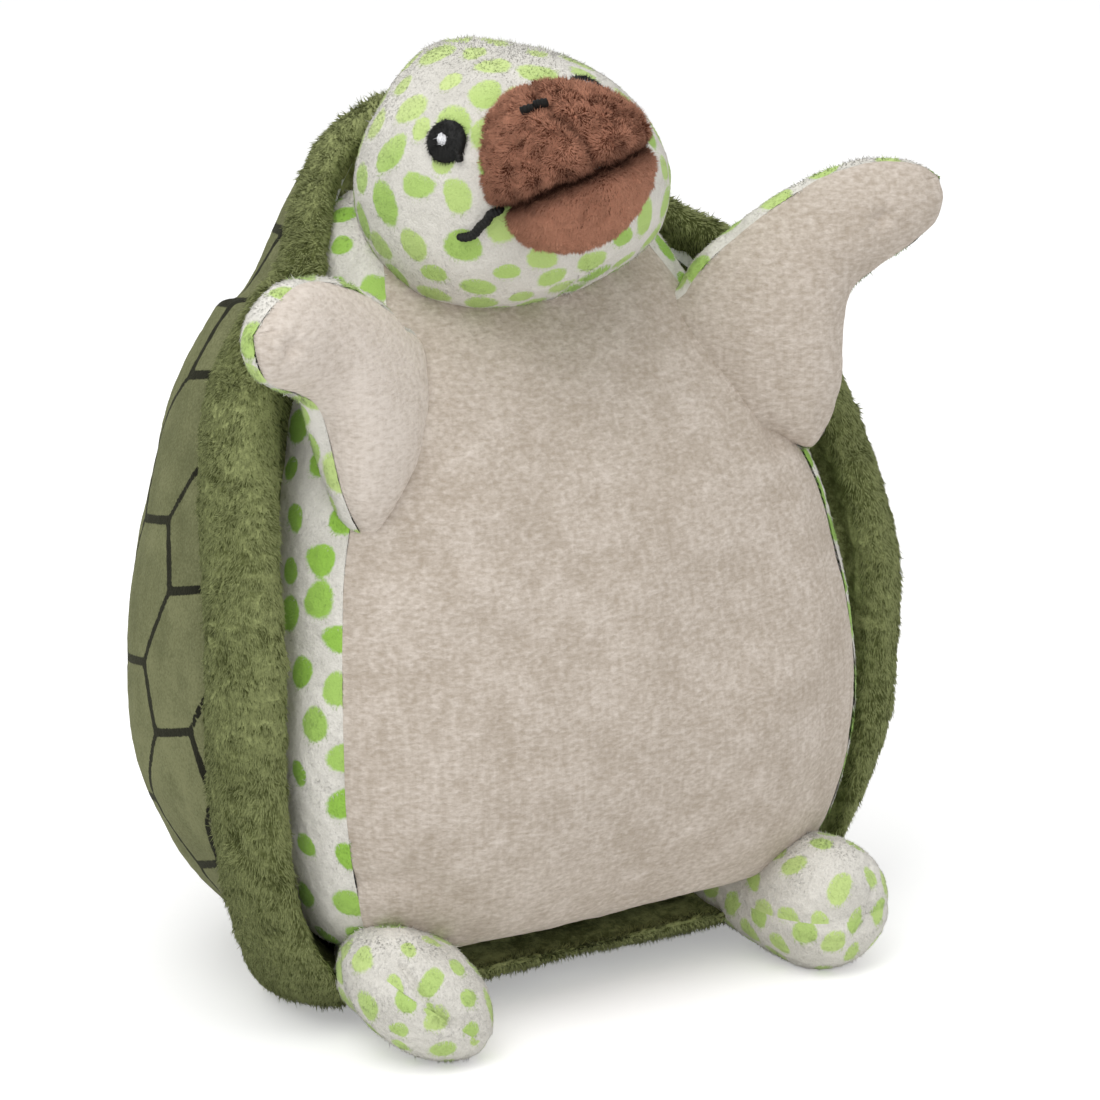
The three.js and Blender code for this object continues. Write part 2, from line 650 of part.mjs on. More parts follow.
function footSolid(side, inset) {
  const frame = footFrame(side);
  const base = FOOT_BASE - inset;
  const rings = [];
  for (let r = 0; r < LIMB_BASE_STEPS; r += 1) {
    const turn = ((r + 1) / (LIMB_BASE_STEPS + 1)) * (Math.PI / 2);
    const taper = base * FOOT_BASE_TAPER_SHARE * (1 - Math.sin(turn));
    const wide = FOOT_HALF_WIDTH * FOOT_WIDTH_SHARES[0] - inset - taper;
    rings.push(limbRing(frame, -base * Math.cos(turn), -wide, wide, base * Math.sin(turn), LIMB_TURNS));
  }
  for (const share of FOOT_ALONG_SHARES) {
    const wide = FOOT_HALF_WIDTH * footWidth(share) * (1 - inset / FOOT_HALF_WIDTH);
    const high = FOOT_HALF_HEIGHT * footHeight(share) * (1 - inset / FOOT_HALF_HEIGHT);
    rings.push(limbRing(frame, share * (FOOT_LENGTH - inset), -wide, wide, high, LIMB_TURNS));
  }
  const whole = ringSolid([ringMiddle(rings[0]), ...rings, ringMiddle(rings[rings.length - 1])]);
  return whole.intersect(toSolid(beyond('z', inset, 1)));
}

// Assembly
const turtle = new THREE.Group();

function volumeOf(solid) {
  const { vertProperties, triVerts } = solid.getMesh();
  const corner = (i) => new THREE.Vector3().fromArray(vertProperties, 3 * triVerts[i]);
  let sum = 0;
  for (let i = 0; i < triVerts.length; i += 3) {
    sum += corner(i).dot(corner(i + 1).cross(corner(i + 2)));
  }
  return sum;
}

// The main body of a solid, without the slivers that a cut can leave
function mainBody(solid) {
  return solid.decompose().reduce((best, body) => (volumeOf(body) > volumeOf(best) ? body : best));
}

function addPiece(name, cutSolid, color, roughness) {
  const solid = mainBody(cutSolid);
  const material = new THREE.MeshStandardMaterial({ color, roughness, metalness: 0 });
  const piece = new THREE.Mesh(toGeometry(solid), material);
  piece.name = name;
  turtle.add(piece);
}

const SIDES = [['left', 1], ['right', -1]];

function flipperRoot(side, gap) {
  const halfLength = FLIPPER_WIDE * FLIPPER_UPPER_SHARES[0];
  return hingeRecess(flipperFrame(side), FLIPPER_THICK + gap, halfLength + gap);
}

function footRoot(side, gap) {
  const halfLength = FOOT_HALF_WIDTH * FOOT_WIDTH_SHARES[0];
  return hingeRecess(footFrame(side), FOOT_BASE + gap, halfLength + gap);
}

const headSocket = socketBall(NECK_SOCKET);
const padRoom = socketBall(NECK_SOCKET + NECK_PAD + SLIDE_GAP)
  .intersect(neckCone(NECK_PAD_CONE_DEG + NECK_PAD_ROOM_DEG));
const headRoom = headSocket.add(padRoom);

const limbRecesses = SIDES.flatMap(([, side]) => [flipperRoot(side, SLIDE_GAP), footRoot(side, SLIDE_GAP)]);

function withoutLimbs(solid) {
  return limbRecesses.reduce((left, recess) => left.subtract(recess), solid);
}

// Shell
function panelSolid() {
  const seamShare = SEAM_GAP / (DOME_BACK + LIP_FORWARD);
  const outer = domeRings(0, seamShare);
  const inner = domeRings(CLOTH, seamShare);
  return ringSolid([...outer.reverse(), ...inner]);
}

function addShell() {
  const rimOuter = rimRings(0);
  const rimInner = rimRings(CLOTH);
  const rim = ringSolid([...rimOuter, ...rimInner.reverse()], true);
  addPiece('shell_rim_cover', withoutLimbs(rim), OLIVE, 0.95);

  addPiece('carapace_panel', panelSolid(), OLIVE_PANEL, 0.9);

  const room = torsoSolid(-SLIDE_GAP).add(headRoom);
  const hollow = shellSolid(CLOTH + SHELL_FILL_GAP, HEM_END_SHARE).intersect(behindOpening(HEM_DEEP));
  const inside = withoutLimbs(hollow.subtract(room));
  const behind = behindOpening(ROLL_DEEP);
  const wellBehind = behindOpening(ROLL_DEEP + LINING);
  const farBehind = behindOpening(ROLL_DEEP + LINING + SEAM_GAP);
  const before = behindOpening(ROLL_DEEP - SEAM_GAP);
  addPiece('shell_rim_fill', inside.subtract(before), STUFFING, 1);
  addPiece('shell_lining', inside.intersect(behind).subtract(wellBehind), CALICO, 1);
  addPiece('carapace_fill', inside.intersect(farBehind), STUFFING, 1);
}

// Torso
function pouchRings(inset) {
  const width = POUCH_HALF_WIDTH - inset;
  const deep = POUCH_HALF_DEEP - inset;
  const height = POUCH_HALF_HEIGHT - inset;
  const rings = ball(width, deep, height, height, POUCH_TURNS, POUCH_STEPS);
  const centre = TORSO_BOTTOM + CLOTH + POUCH_LIFT + POUCH_HALF_HEIGHT;
  return place(rings, new THREE.Matrix4().makeTranslation(0, -POUCH_FORWARD, centre));
}

function addTorso() {
  const whole = torsoSolid(0);
  const skin = withoutLimbs(whole.subtract(torsoSolid(CLOTH, TORSO_TURNS / 2)).subtract(headRoom));
  const rear = behindOpening(GUSSET_DEEP);
  const notRear = behindOpening(GUSSET_DEEP - SEAM_GAP);
  addPiece('belly_panel', skin.intersect(bellySpace(0)), CREAM, 0.95);
  const sides = skin.subtract(bellySpace(SEAM_GAP)).subtract(notRear);
  for (const [name, side] of SIDES) {
    const half = toSolid(beyond('x', (side * SEAM_GAP) / 2, side));
    addPiece(`side_gusset_${name}`, sides.intersect(half), SPOTTED, 0.95);
  }
  addPiece('torso_back_panel', skin.intersect(rear), CALICO, 1);

  const pouch = ringSolid(pouchRings(0));
  const neck = new THREE.CylinderGeometry(POUCH_NECK, POUCH_NECK, OVERRUN, POUCH_TURNS);
  neck.rotateX(Math.PI / 2);
  neck.translate(0, -POUCH_FORWARD, OVERRUN / 2 + TORSO_BOTTOM + POUCH_HALF_HEIGHT);
  const beans = ringSolid(pouchRings(POUCH_CLOTH));
  addPiece('pouch_cover', pouch.subtract(beans).subtract(toSolid(neck)), CALICO, 1);
  addPiece('pellet_fill', ringSolid(pouchRings(POUCH_CLOTH + SEAM_GAP)), PELLET, 0.7);

  const roomBelow = new THREE.CylinderGeometry(1, 1, POUCH_HALF_HEIGHT * 2, POUCH_TURNS);
  roomBelow.rotateX(Math.PI / 2);
  roomBelow.scale(POUCH_HALF_WIDTH + SLIDE_GAP, POUCH_HALF_DEEP + SLIDE_GAP, 1);
  roomBelow.translate(0, -POUCH_FORWARD, TORSO_BOTTOM + CLOTH);
  const fillForm = torsoSolid(CLOTH + SEAM_GAP, TORSO_TURNS / 2).subtract(ringSolid(pouchRings(-SLIDE_GAP)));
  const fill = withoutLimbs(fillForm.subtract(toSolid(roomBelow)).subtract(headRoom));
  addPiece('torso_fill', fill, STUFFING, 1);

  const padShell = socketBall(NECK_SOCKET + NECK_PAD).subtract(headSocket);
  addPiece('neck_fill', padShell.intersect(neckCone(NECK_PAD_CONE_DEG)), STUFFING, 1);
}

// Head
function addHead() {
  const opening = neckCone(NECK_OPENING_CONE_DEG);
  const skin = headSolid(0).subtract(headSolid(CLOTH)).subtract(opening);
  for (const [name, side] of SIDES) {
    addPiece(`head_cover_${name}`, skin.intersect(headSide('x', (side * SEAM_GAP) / 2, side)), SPOTTED, 0.95);
  }
  addPiece('head_fill', headSolid(CLOTH + SEAM_GAP, 2), STUFFING, 1);

  const beakForm = beakSolid(0).subtract(headSolid(-SEAM_GAP));
  const beakSkin = beakForm.subtract(beakSolid(BEAK_CLOTH));
  const upper = beakSkin.intersect(headSide('z', -MOUTH_BELOW + SEAM_GAP / 2, 1));
  for (const [name, side] of SIDES) {
    const half = headSide('x', BEAK_SIDE + (side * SEAM_GAP) / 2, side);
    addPiece(`beak_upper_${name}`, upper.intersect(half), BROWN, 0.95);
  }
  addPiece('beak_lower', beakSkin.intersect(headSide('z', -MOUTH_BELOW - SEAM_GAP / 2, -1)), BROWN, 0.95);
  const beakFill = beakSolid(BEAK_CLOTH + SEAM_GAP).subtract(headSolid(-SEAM_GAP));
  addPiece('beak_fill', beakFill, STUFFING, 1);
}

// Limbs
function addFlipper(name, side) {
  const frame = flipperFrame(side);
  const forward = side * FLIPPER_FORWARD_DEG;
  const rearward = -side * FLIPPER_REARWARD_DEG;
  const body = sweep(torsoRings(-SLIDE_GAP), frame, forward, rearward).subtract(flipperRoot(side, 0));
  const skin = flipperSolid(side, 0).subtract(flipperSolid(side, CLOTH)).subtract(body);
  addPiece(`flipper_palm_${name}`, skin.intersect(limbSide(frame, 1)), CREAM, 0.95);
  addPiece(`flipper_back_${name}`, skin.intersect(limbSide(frame, -1)), SPOTTED, 0.95);
  addPiece(`flipper_fill_${name}`, flipperSolid(side, CLOTH + SEAM_GAP).subtract(body), STUFFING, 1);
}

function addFoot(name, side) {
  const frame = footFrame(side);
  const body = sweep(torsoRings(-SLIDE_GAP), frame, FOOT_LIFT_DEG, -FOOT_DROOP_DEG)
    .add(sweep(shellFormRings(-SLIDE_GAP), frame, FOOT_LIFT_DEG, -FOOT_DROOP_DEG))
    .subtract(footRoot(side, 0));
  const skin = footSolid(side, 0).subtract(footSolid(side, CLOTH)).subtract(body);
  addPiece(`foot_top_${name}`, skin.intersect(limbSide(frame, 1)), SPOTTED, 0.95);
  addPiece(`foot_sole_${name}`, skin.intersect(limbSide(frame, -1)), SPOTTED, 0.95);
  addPiece(`foot_fill_${name}`, footSolid(side, CLOTH + SEAM_GAP).subtract(body), STUFFING, 1);
}

addShell();
addTorso();
addHead();
for (const [name, side] of SIDES) {
  addFlipper(name, side);
  addFoot(name, side);
}

export default turtle;
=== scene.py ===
from itertools import product
from math import cos, pi, radians, sin

import bpy
import numpy as np
from bpy.props import FloatProperty, FloatVectorProperty, PointerProperty
from mathutils import Matrix


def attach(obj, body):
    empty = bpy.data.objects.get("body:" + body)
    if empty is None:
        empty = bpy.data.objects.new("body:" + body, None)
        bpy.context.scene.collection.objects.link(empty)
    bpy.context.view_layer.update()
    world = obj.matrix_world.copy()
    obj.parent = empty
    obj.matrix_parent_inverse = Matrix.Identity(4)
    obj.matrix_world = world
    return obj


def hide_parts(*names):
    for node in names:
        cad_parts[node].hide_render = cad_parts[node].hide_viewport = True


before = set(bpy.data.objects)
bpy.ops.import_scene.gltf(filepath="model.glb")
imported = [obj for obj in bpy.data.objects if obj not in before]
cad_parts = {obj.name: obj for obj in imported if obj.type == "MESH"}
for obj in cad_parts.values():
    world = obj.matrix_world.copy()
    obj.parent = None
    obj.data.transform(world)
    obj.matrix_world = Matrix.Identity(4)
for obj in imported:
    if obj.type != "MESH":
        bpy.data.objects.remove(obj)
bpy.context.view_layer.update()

bl_info = {
    "name": "Plush Turtle",
    "version": (1, 0, 0),
    "blender": (4, 5, 0),
    "location": "View3D > Sidebar > Turtle",
    "description": "Sews a stuffed turtle of pile fabric round its frame",
    "category": "Add Mesh",
}

MM = 0.001
SIDES = (("left", 1), ("right", -1))

# Shell, in millimetres, as in the frame
OPENING_HALF_WIDTH = 59.7
OPENING_EGG = 0.15
OPENING_MIDDLE = 82.5
OPENING_HALF_HEIGHT = 72.5
OPENING_SQUARE = 0.54
OPENING_SQUARE_CHANGE = 0.285
OPENING_SAG = 0.13
OPENING_SAG_SPAN = (112, 146)
LIP_FORWARD = 29.2
ROLL_OUT = 13.1
ROLL_DEEP = 17.4
ROLL_SLIM = 0.48
ROLL_SLIM_SPAN = (111, 161)
BASE_DEEP = 42
BASE_SPAN = (12, 44)
DOME_BACK = 49.5
DOME_MIDDLE = 91.5
DOME_SQUARE = 0.61
DOME_SQUARE_CHANGE = 0.25

# How the front plane leans back: where its bend starts, its softness and slope, and how far and between which
# heights its top is pressed back
LEAN_START = 69.6
LEAN_SOFT = 8
LEAN_SLOPE = 0.507
LEAN_TOP = 15.5
LEAN_TOP_SPAN = (130, 154)

# The printed honeycomb: the upright axis and radius that it is wrapped round, the height of the middle of one
# plate, how its columns draw together with height, and how its level edges rise towards the seam
PLATE_AXIS = -10
PLATE_RADIUS = 78
PLATE_MIDDLE = 92.9
PLATE_NARROW = 0.00127
PLATE_RISE = 0.00112

# The rim's section: a hidden turned-in hem, then from the lip round the outside to the rear seam
ROLL_PLACES = [-0.3, -0.15, 0, 1 / 7, 2 / 7, 3 / 7, 4 / 7, 5 / 7, 6 / 7, 1]
ROLL_OUT_SHARES = [-1.5, -0.12, 0.04, 0.12, 0.4, 0.76, 0.98, 1, 0.86, 0.68]
ROLL_BACK_SHARES = [0.95, 0.5, 0.2, 0.05, -0.045, 0.07, 0.31, 0.57, 0.83, 1]
BASE_IN_SHARES = [0.04, 0.02, 0, 0, 0.01, 0.045, 0.085, 0.12, 0.15, 0.175]
BASE_BACK_SHARES = [0.34, 0.2, 0.09, 0.03, 0.02, 0.12, 0.29, 0.48, 0.92, 1]
BASE_DROP_SHARES = [-0.1, 0, 0.1, 0.1, 0.28, 0.55, 0.85, 1.02, 1.1, 0.5]

# The place on the section that its middle is taken from, together with the lip, the turns whose sections
# set the spacing of the rows, and how far the hem of the dome's cover is turned in under the roll, as a
# share of the way to the roll's middle
CORE_PLACE = 0.7
RIM_SECTION_TURN = 1.4
DOME_SECTION_TURN = 1.6
HEM_SHARE = 0.6

# Torso, in millimetres and in shares of its height
TORSO_BOTTOM = 12
TORSO_HEIGHT = 132
TORSO_FRONT = 47
TORSO_BACK = 27
TORSO_HALF_WIDTH = 59.5
TORSO_SQUARE = 0.72
TORSO_PLACES = [0, 0.02, 0.05, 0.14, 0.25, 0.36, 0.47, 0.59, 0.69, 0.785, 0.85, 0.91, 0.955, 0.985, 1]
TORSO_FRONT_SHARES = [
    0.49, 0.66, 0.83, 0.96, 1, 0.98, 0.915, 0.81, 0.68, 0.53, 0.38, 0.21, 0.06, -0.09, -0.23,
]
TORSO_BACK_SHARES = [
    -0.22, -0.04, 0.15, 0.26, 0.26, 0.26, 0.26, 0.3, 0.37, 0.555, 0.74, 0.89, 1, 1.03, 1,
]
TORSO_WIDTH_SHARES = [
    0.6, 0.77, 0.88, 0.957, 1, 1, 0.975, 0.925, 0.84, 0.74, 0.655, 0.6, 0.54, 0.44, 0.3,
]
BELLY_SEAM_SHARES = [
    0.72, 0.84, 0.9, 0.92, 0.925, 0.925, 0.925, 0.92, 0.9, 0.87, 0.83, 0.8, 0.78, 0.76, 0.74,
]
GUSSET_DEEP = 16

# Soft folds of the belly: their lines, depths (below 0 where the cloth swells) and widths
BELLY_FOLDS = [
    ([[-50, -31, 93], [-40, -31, 89], [-27, -34, 89]], 0.9, 4.5),
    ([[-35, -25, 108], [-24, -36, 96]], -0.5, 6),
    ([[31, -15, 121], [40, -29, 99]], 1.3, 3),
    ([[43, -29, 95], [50, -33, 76]], 0.6, 5),
    ([[-16, -18, 122], [-20, -26, 108]], 0.5, 5),
    ([[10, -20, 120], [6, -30, 104]], 0.5, 5),
    ([[2, -44, 34], [-1, -43, 27]], 0.5, 2.5),
    ([[-52, -34, 33], [-44, -41, 34], [-38, -43, 28]], 0.9, 2.5),
    ([[34, -44, 34], [44, -39, 36], [51, -34, 42]], 0.8, 3),
    ([[-20, -45, 50], [20, -45, 50]], -0.8, 16),
]

# Head and beak
HEAD_CENTRE = np.array([-2.5, -6.8, 149.4])
HEAD_HALF_WIDTH = 29.6
HEAD_HALF_DEEP = 28.5
HEAD_UP = 25.6
HEAD_DOWN = 29.2
HEAD_TURN = radians(-15.6)
HEAD_LOOK_UP = radians(-21)
HEAD_TILT = radians(-16)

# Where the stuffed head and beak are out of round: the direction of a soft press, how far from the middle it
# starts, and its share, which is below 0 for a swelling
HEAD_PRESSES = [
    ((0.73, -0.22, 0.65), 10, 0.27),
    ((-0.11, 0.02, -0.99), 15.7, 0.45),
    ((-0.03, 0.02, 1), 19.2, -0.6),
]
BEAK_PRESSES = [
    ((0.66, -0.28, 0.69), 11.4, 0.66),
    ((0.2, 0, 0.98), 10.2, 0.3),
    ((-0.98, -0.05, 0.18), 6, 0.16),
]
PRESS_SOFT = 3
BEAK_CENTRE = np.array([1, -27, -3.5])
BEAK_RADII = np.array([16.3, 14, 16])
MOUTH_RISE = radians(-16.7)
MOUTH_SLANT = 0.045
MOUTH_CURVE = 0.049
BEAK_BACK = radians(150)
BEAK_RIDGE_LEAN = -0.5
BEAK_RIDGE_SPAN = (-0.2, 0.8)
BEAK_RIDGE_SHIFT = 0.35

# The stuffed root of the neck: its outer and inner radius and its half angle, seen from the head's middle
NECK_OUTER = 33.0
NECK_INNER = 30.9
NECK_HALF_ANGLE = radians(21)

# The gathered seam down the middle of each toe, and the depths and widths of its crease and of the hollow
# round it
TOE_PULLS = ((1.1, 0.9), (0.5, 4.0))
TOE_CREASES = {
    "left": [[49.5, -47.5, 19.5], [48, -51, 15.5], [45, -52.8, 10]],
    "right": [[-51.1, -47.2, 21.4], [-50.1, -50.5, 17.4], [-47.7, -52.2, 13.7], [-44.5, -52.9, 9.9]],
}

# Satin stitch: how high its threads stand and how wide they are on a patch, how far a patch is drawn in at
# its edge, the share that threads stand out on a line and their width there, and the length of loose ends
# and their number for each square millimetre of a patch's half sizes
PATCH_RIDGE = 0.12
PATCH_THREAD = 0.5
PATCH_EDGE = 0.3
LINE_RIDGE = 0.16
LINE_THREAD = 0.7
THREAD_END = 0.9
THREAD_ENDS = 45

# How much paler each palm's colour is painted, a painted sheen of its nap, and where a thread pulls them in
PALM_PAINTED_SHEEN = {"left": 0.1, "right": 0.9}
PALM_DIMPLE = (1.3, 1.6)
PUCKERS = 9
PALM_STITCHES = {"left": [62, -31.8, 138.1], "right": [-64.1, -34.2, 130.5]}

# Face, in the head's own frame, given for the turtle's right side
FACE_MIDDLE = -2.2
EYE_PLACE = [-16.4, -22, 7.7]
EYE_HALF = 3.7
EYE_TAIL = [[-15.6, -22.8, 5.6], [-15.5, -23.2, 4.4], [-15.9, -23.6, 3.2]]
GLINT_SHIFT = [-0.4, 0, 0.2]
MOUTH_CORNER = [[-20.2, -19.2, -8.4], [-18.9, -20.0, -9.1], [-17.6, -21.1, -9.2], [-16.4, -22.2, -8.4],
                [-15.3, -23.1, -8.0], [-14.4, -23.9, -7.2], [-13.2, -24.5, -7.1], [-12.0, -25.2, -7.0]]

# The two nostrils, one stitch each, side by side on the beak
NOSTRIL_STITCHES = [[[-6.4, -35.7, 6.9], [-4.0, -36.8, 6.3]], [[-4.2, -36.6, 7.0], [-1.7, -37.6, 6.4]]]

# Flippers and feet
FLIPPER_WIDE = 22
FLIPPER_THICK = 7.2
FLIPPER_BEHIND = 6
FLIPPER_SQUARE = 0.9
FLIPPER_SEAM = radians(22)
FLIPPER_END = 1.055
FLIPPER_END_SOFT = 0.03
FLIPPER_ROOT_TOP = [28, -19, 126.5]
FLIPPER_ROOT_LOW = [40, -30, 99]
FLIPPER_TIPS = {1: [75, -37, 138.5], -1: [-68, -38, 127.5]}
FLIPPER_PLACES = [0, 0.1, 0.3, 0.5, 0.66, 0.82, 0.94, 1.01, 1.04]
FLIPPER_UPPER_SHARES = [0.76, 0.87, 0.93, 0.93, 0.9, 0.8, 0.63, 0.47, 0.34]
FLIPPER_LOWER_SHARES = [-0.76, -1, -0.72, -0.14, -0.06, -0.05, 0, 0.13, 0.26]
FLIPPER_THICK_SHARES = [1, 1.03, 1.03, 0.96, 0.9, 0.8, 0.64, 0.42, 0.1]
FOOT_ROUND = {1: (12.4, 12.4, radians(0)), -1: (15.2, 9.6, radians(38))}
FOOT_LENGTH = 30.5
FOOT_HALF_WIDTH = 13.5
FOOT_HALF_HEIGHT = 12.5
FOOT_BASE = 9.2
FOOT_SPLAY = radians(14)
FOOT_ROOT = [39.5, -23, 12]
FOOT_ROOT_WIDE = 0.6
FOOT_ROOT_SPAN = (0, 0.4)
FOOT_LEAST = 0.2
FOOT_PLACES = [0, 0.2, 0.45, 0.65, 0.82, 0.93, 0.985, 1]
FOOT_WIDTH_SHARES = [0.7, 0.86, 0.99, 1, 0.86, 0.6, 0.28, 0.02]
FOOT_HEIGHT_SHARES = [0.736, 0.86, 0.98, 1, 0.85, 0.58, 0.27, 0.02]

# Rows and columns of each cloth's grid, and the columns of a limb's stuffing
GRIDS = {
    "rim": (74, 440), "dome": (130, 560), "rim_stuffing": (20, 120), "lining": (14, 120),
    "dome_stuffing": (24, 120), "belly": (220, 190), "gusset": (200, 60), "torso_back": (60, 60),
    "torso_stuffing": (40, 60), "pouch": (30, 48), "head": (124, 124), "head_stuffing": (36, 60),
    "neck": (20, 60), "beak_top": (84, 110), "beak_low": (60, 190), "beak_stuffing": (26, 48),
    "flipper": (100, 80), "foot": (90, 80), "patch": (16, 64),
}

LIMB_COLUMNS = 40

# Relief of each cloth: the widths of its clumps of pile or folds, and their heights
RELIEF = {
    "rim": [(1.5, 0.3), (2.8, 0.2), (7.0, 0.12), (22.0, 0.5)],
    "dome": [(1.2, 0.1), (6.0, 0.15), (24.0, 0.6)],
    "belly": [(1.0, 0.05), (5.0, 0.16)],
    "belly_folds": [(11.0, 0.35), (24.0, 1.3)],
    "gusset": [(1.2, 0.12), (9.0, 0.3)],
    "head": [(1.3, 0.08), (3.5, 0.1), (14.0, 0.35)],
    "beak_top": [(1.3, 0.42), (2.4, 0.3), (9.0, 0.3)],
    "beak_low": [(1.3, 0.42), (2.4, 0.3), (9.0, 0.3)],
    "palm": [(1.0, 0.06), (6.0, 0.25), (12.0, 0.35)],
    "back": [(1.2, 0.12), (8.0, 0.3)],
    "foot": [(1.2, 0.12), (8.0, 0.4)],
    "lining": [(9.0, 0.2)],
    "torso_back": [(10.0, 0.2)],
    "pouch": [(5.0, 0.3)],
    "pellets": [(2.6, 0.5)],
    "rim_stuffing": [(6.0, 0.4)],
    "dome_stuffing": [(8.0, 0.5)],
    "torso_stuffing": [(7.0, 0.5)],
    "head_stuffing": [(6.0, 0.4)],
    "neck": [(4.0, 0.2)],
    "beak_stuffing": [(4.0, 0.3)],
    "flipper_stuffing": [(5.0, 0.2)],
    "foot_stuffing": [(5.0, 0.2)],
}

# How deep each seam pulls the cloth in, and over what width, and how far the cloth lies inside its form to
# make room for its pile
SEAMS = {
    "rim": (1.1, 2.2), "dome": (1.1, 2.0), "belly": (0.25, 2.0), "gusset": (0.2, 2.0), "head": (0.35, 1.0),
    "ridge": (1.9, 1.7), "mouth": (2.6, 1.9), "mouth_low": (2.0, 1.7), "limb": (0.3, 1.4), "fold": (-1, 5.0),
}
SINK = {"rim": 0.9, "head": 0.8, "beak": 0.7}

# Where the roll has pile: past the lip, or above a height on the hem too, and in both off the ground
RIM_PILE_START = 0.02
RIM_PILE_HEM = -0.28
RIM_PILE_HEM_HEIGHT = 105
RIM_PILE_FOOT = 2

# Painted shade deep in the mouth's crease and in the valley of the ridge: widths, and the ridge's share
MOUTH_SHADE = 2.4
MOUTH_LOW_SHADE = 1.8
RIDGE_SHADE = 1.0
RIDGE_SHADE_SHARE = 0.6

# Printed spots: their spacing, their share of the mean radius, and the strength of their colour. On the head
# the strength fades with height.
SPOTS = {
    "gusset": (6.8, 0.9, 1.6), "head": (6.0, 1, 0.85), "flipper": (6.6, 1, 0.7), "foot": (5.6, 0.74, 0.6),
}
HEAD_FADE = 0.62
HEAD_FADE_SPAN = (2, 22)

# The hidden parts: the share of the roll's section that stuffing fills and its least height, the shares of
# the opening that the lining spans, the share of the dome that stuffing fills, its middle and the shares that
# close it in front, the size and half turn of the torso's back cloth, the share of the torso that stuffing
# fills, and the pouch of pellets
RIM_FILL = 0.55
RIM_FILL_LEAST = 3
LINING_SPAN = (0.94, 0.45)
DOME_FILL = 0.92
DOME_FILL_MIDDLE = np.array([0, 4, DOME_MIDDLE])
DOME_FILL_CLOSE = (0.7, 0.35, 0)
TORSO_CLOTH_SHARE = 0.97
TORSO_CLOTH_HALF_TURN = 1.3
TORSO_FILL = 0.87
POUCH_CENTRE = np.array([0, -17, 25.2])
POUCH_RADII = (27, 14, 9)
PELLET_INSET = 1.2

# How far the stuffing stays inside the cloth, and the most that a cloth may swell
STUFFING_INSET = {"head": 2.8, "beak": 4.4, "limb": 2.6}
SWELL_MOST = {"belly": 1.6, "palm": 1.2, "foot": 0.8}

# The tones of a fibre's foot and tip and how much they change, for short velour and for the same velour
# darkened as painted shade where it lies between the roll and the belly
VELOUR_TONES = (0.75, 1.02, 0.14)
SHADED_TONES = (0.4, 0.65, 0.2)
VELOUR = {"width": 0.3, "lean_share": 0.9, "tones": VELOUR_TONES, "tilt": 0.1}

# Each pile: the number of its fibres, their width, how flat they lie, and how they are brushed and toned
FIBRES = {
    "rim": {"count": 46000, "width": 0.38, "lean_share": 0.8, "swirl": 0.6, "swirl_cell": 3.4},
    # The gusset's fibres are toned darker: painted shade between the roll and the belly
    "gusset": {**VELOUR, "count": 14000, "tones": SHADED_TONES},
    "head": {**VELOUR, "count": 36000, "width": 0.28, "lean_share": 0.93, "swirl": 0.4, "swirl_cell": 9.0},
    "beak_top": {"count": 17000, "width": 0.36, "lean_share": 0.62, "comb": (-0.3, 0, -0.5), "swirl": 1.5,
                 "swirl_cell": 1.9, "mottle": 1.5},
    "beak_low": {"count": 15000, "width": 0.36, "lean_share": 0.66, "swirl": 0.5, "tones": (0.6, 1.15, 0.25)},
    "flipper": {**VELOUR, "count": 14000},
    "foot": {**VELOUR, "count": 9500},
    "thread": {"width": 0.22, "lean_share": 0.7, "swirl": 1.6, "swirl_cell": 1.2},
}


# The tones of the beak's upper pile, and how much darker its tips are on the left side, and lighter on the
# right, than in the middle: painted shade on the side away from the lamps, painted light on the side towards
# them
BEAK_TONES = (0.1, 1.1, 0.55)
BEAK_SIDE_SHADE = 0.08

# Seeds of the random draws
SEEDS = {
    "rim": 11, "rim_pile": 17, "dome": 23, "rim_stuffing": 31, "lining": 37, "dome_stuffing": 41, "belly": 51,
    "belly_folds": 53, "gusset_spots": 61, "gusset_pile": 63, "gusset": 67, "torso_back": 71,
    "torso_stuffing": 73, "pouch": 79, "pellets": 79, "head_spots": 87, "head": 89, "head_pile": 91,
    "head_stuffing": 93, "neck": 97, "beak_top": 101, "beak_low": 103, "beak_pile": 105, "beak_stuffing": 107,
    "beak_low_pile": 111, "flipper_spots": 121, "palm": 127, "back": 127, "flipper_stuffing": 131,
    "flipper_pile": 133, "foot_spots": 141, "foot": 147, "foot_stuffing": 151, "foot_pile": 155,
    "thread": 161,
}

# A closed form, with a point at each end
CLOSED = {"wrap": True, "low_pole": True, "high_pole": True}


def smooth_table(places, values):
    """A curve through a table: cubic pieces, each point's slope that of the line past its two neighbours."""
    places = np.asarray(places, float)
    values = np.asarray(values, float)
    slopes = np.empty_like(values)
    slopes[1:-1] = (values[2:] - values[:-2]) / (places[2:] - places[:-2])
    slopes[0] = (values[1] - values[0]) / (places[1] - places[0])
    slopes[-1] = (values[-1] - values[-2]) / (places[-1] - places[-2])

    def value(at):
        cell = np.clip(np.searchsorted(places, at, side="right") - 1, 0, len(places) - 2)
        width = places[cell + 1] - places[cell]
        t = (at - places[cell]) / width
        start = (2 * t**3 - 3 * t**2 + 1) * values[cell] + (t**3 - 2 * t**2 + t) * width * slopes[cell]
        end = (3 * t**2 - 2 * t**3) * values[cell + 1] + (t**3 - t**2) * width * slopes[cell + 1]
        return start + end

    return value


def smooth_step(value, low, high):
    """0 below low, 1 above high, and a cubic S between them."""
    t = np.clip((value - low) / (high - low), 0, 1)
    return t * t * (3 - 2 * t)


def signed_power(value, power):
    return np.sign(value) * np.abs(value) ** power


def stack(x, y, z):
    return np.stack(np.broadcast_arrays(x, y, z), axis=-1).astype(float)


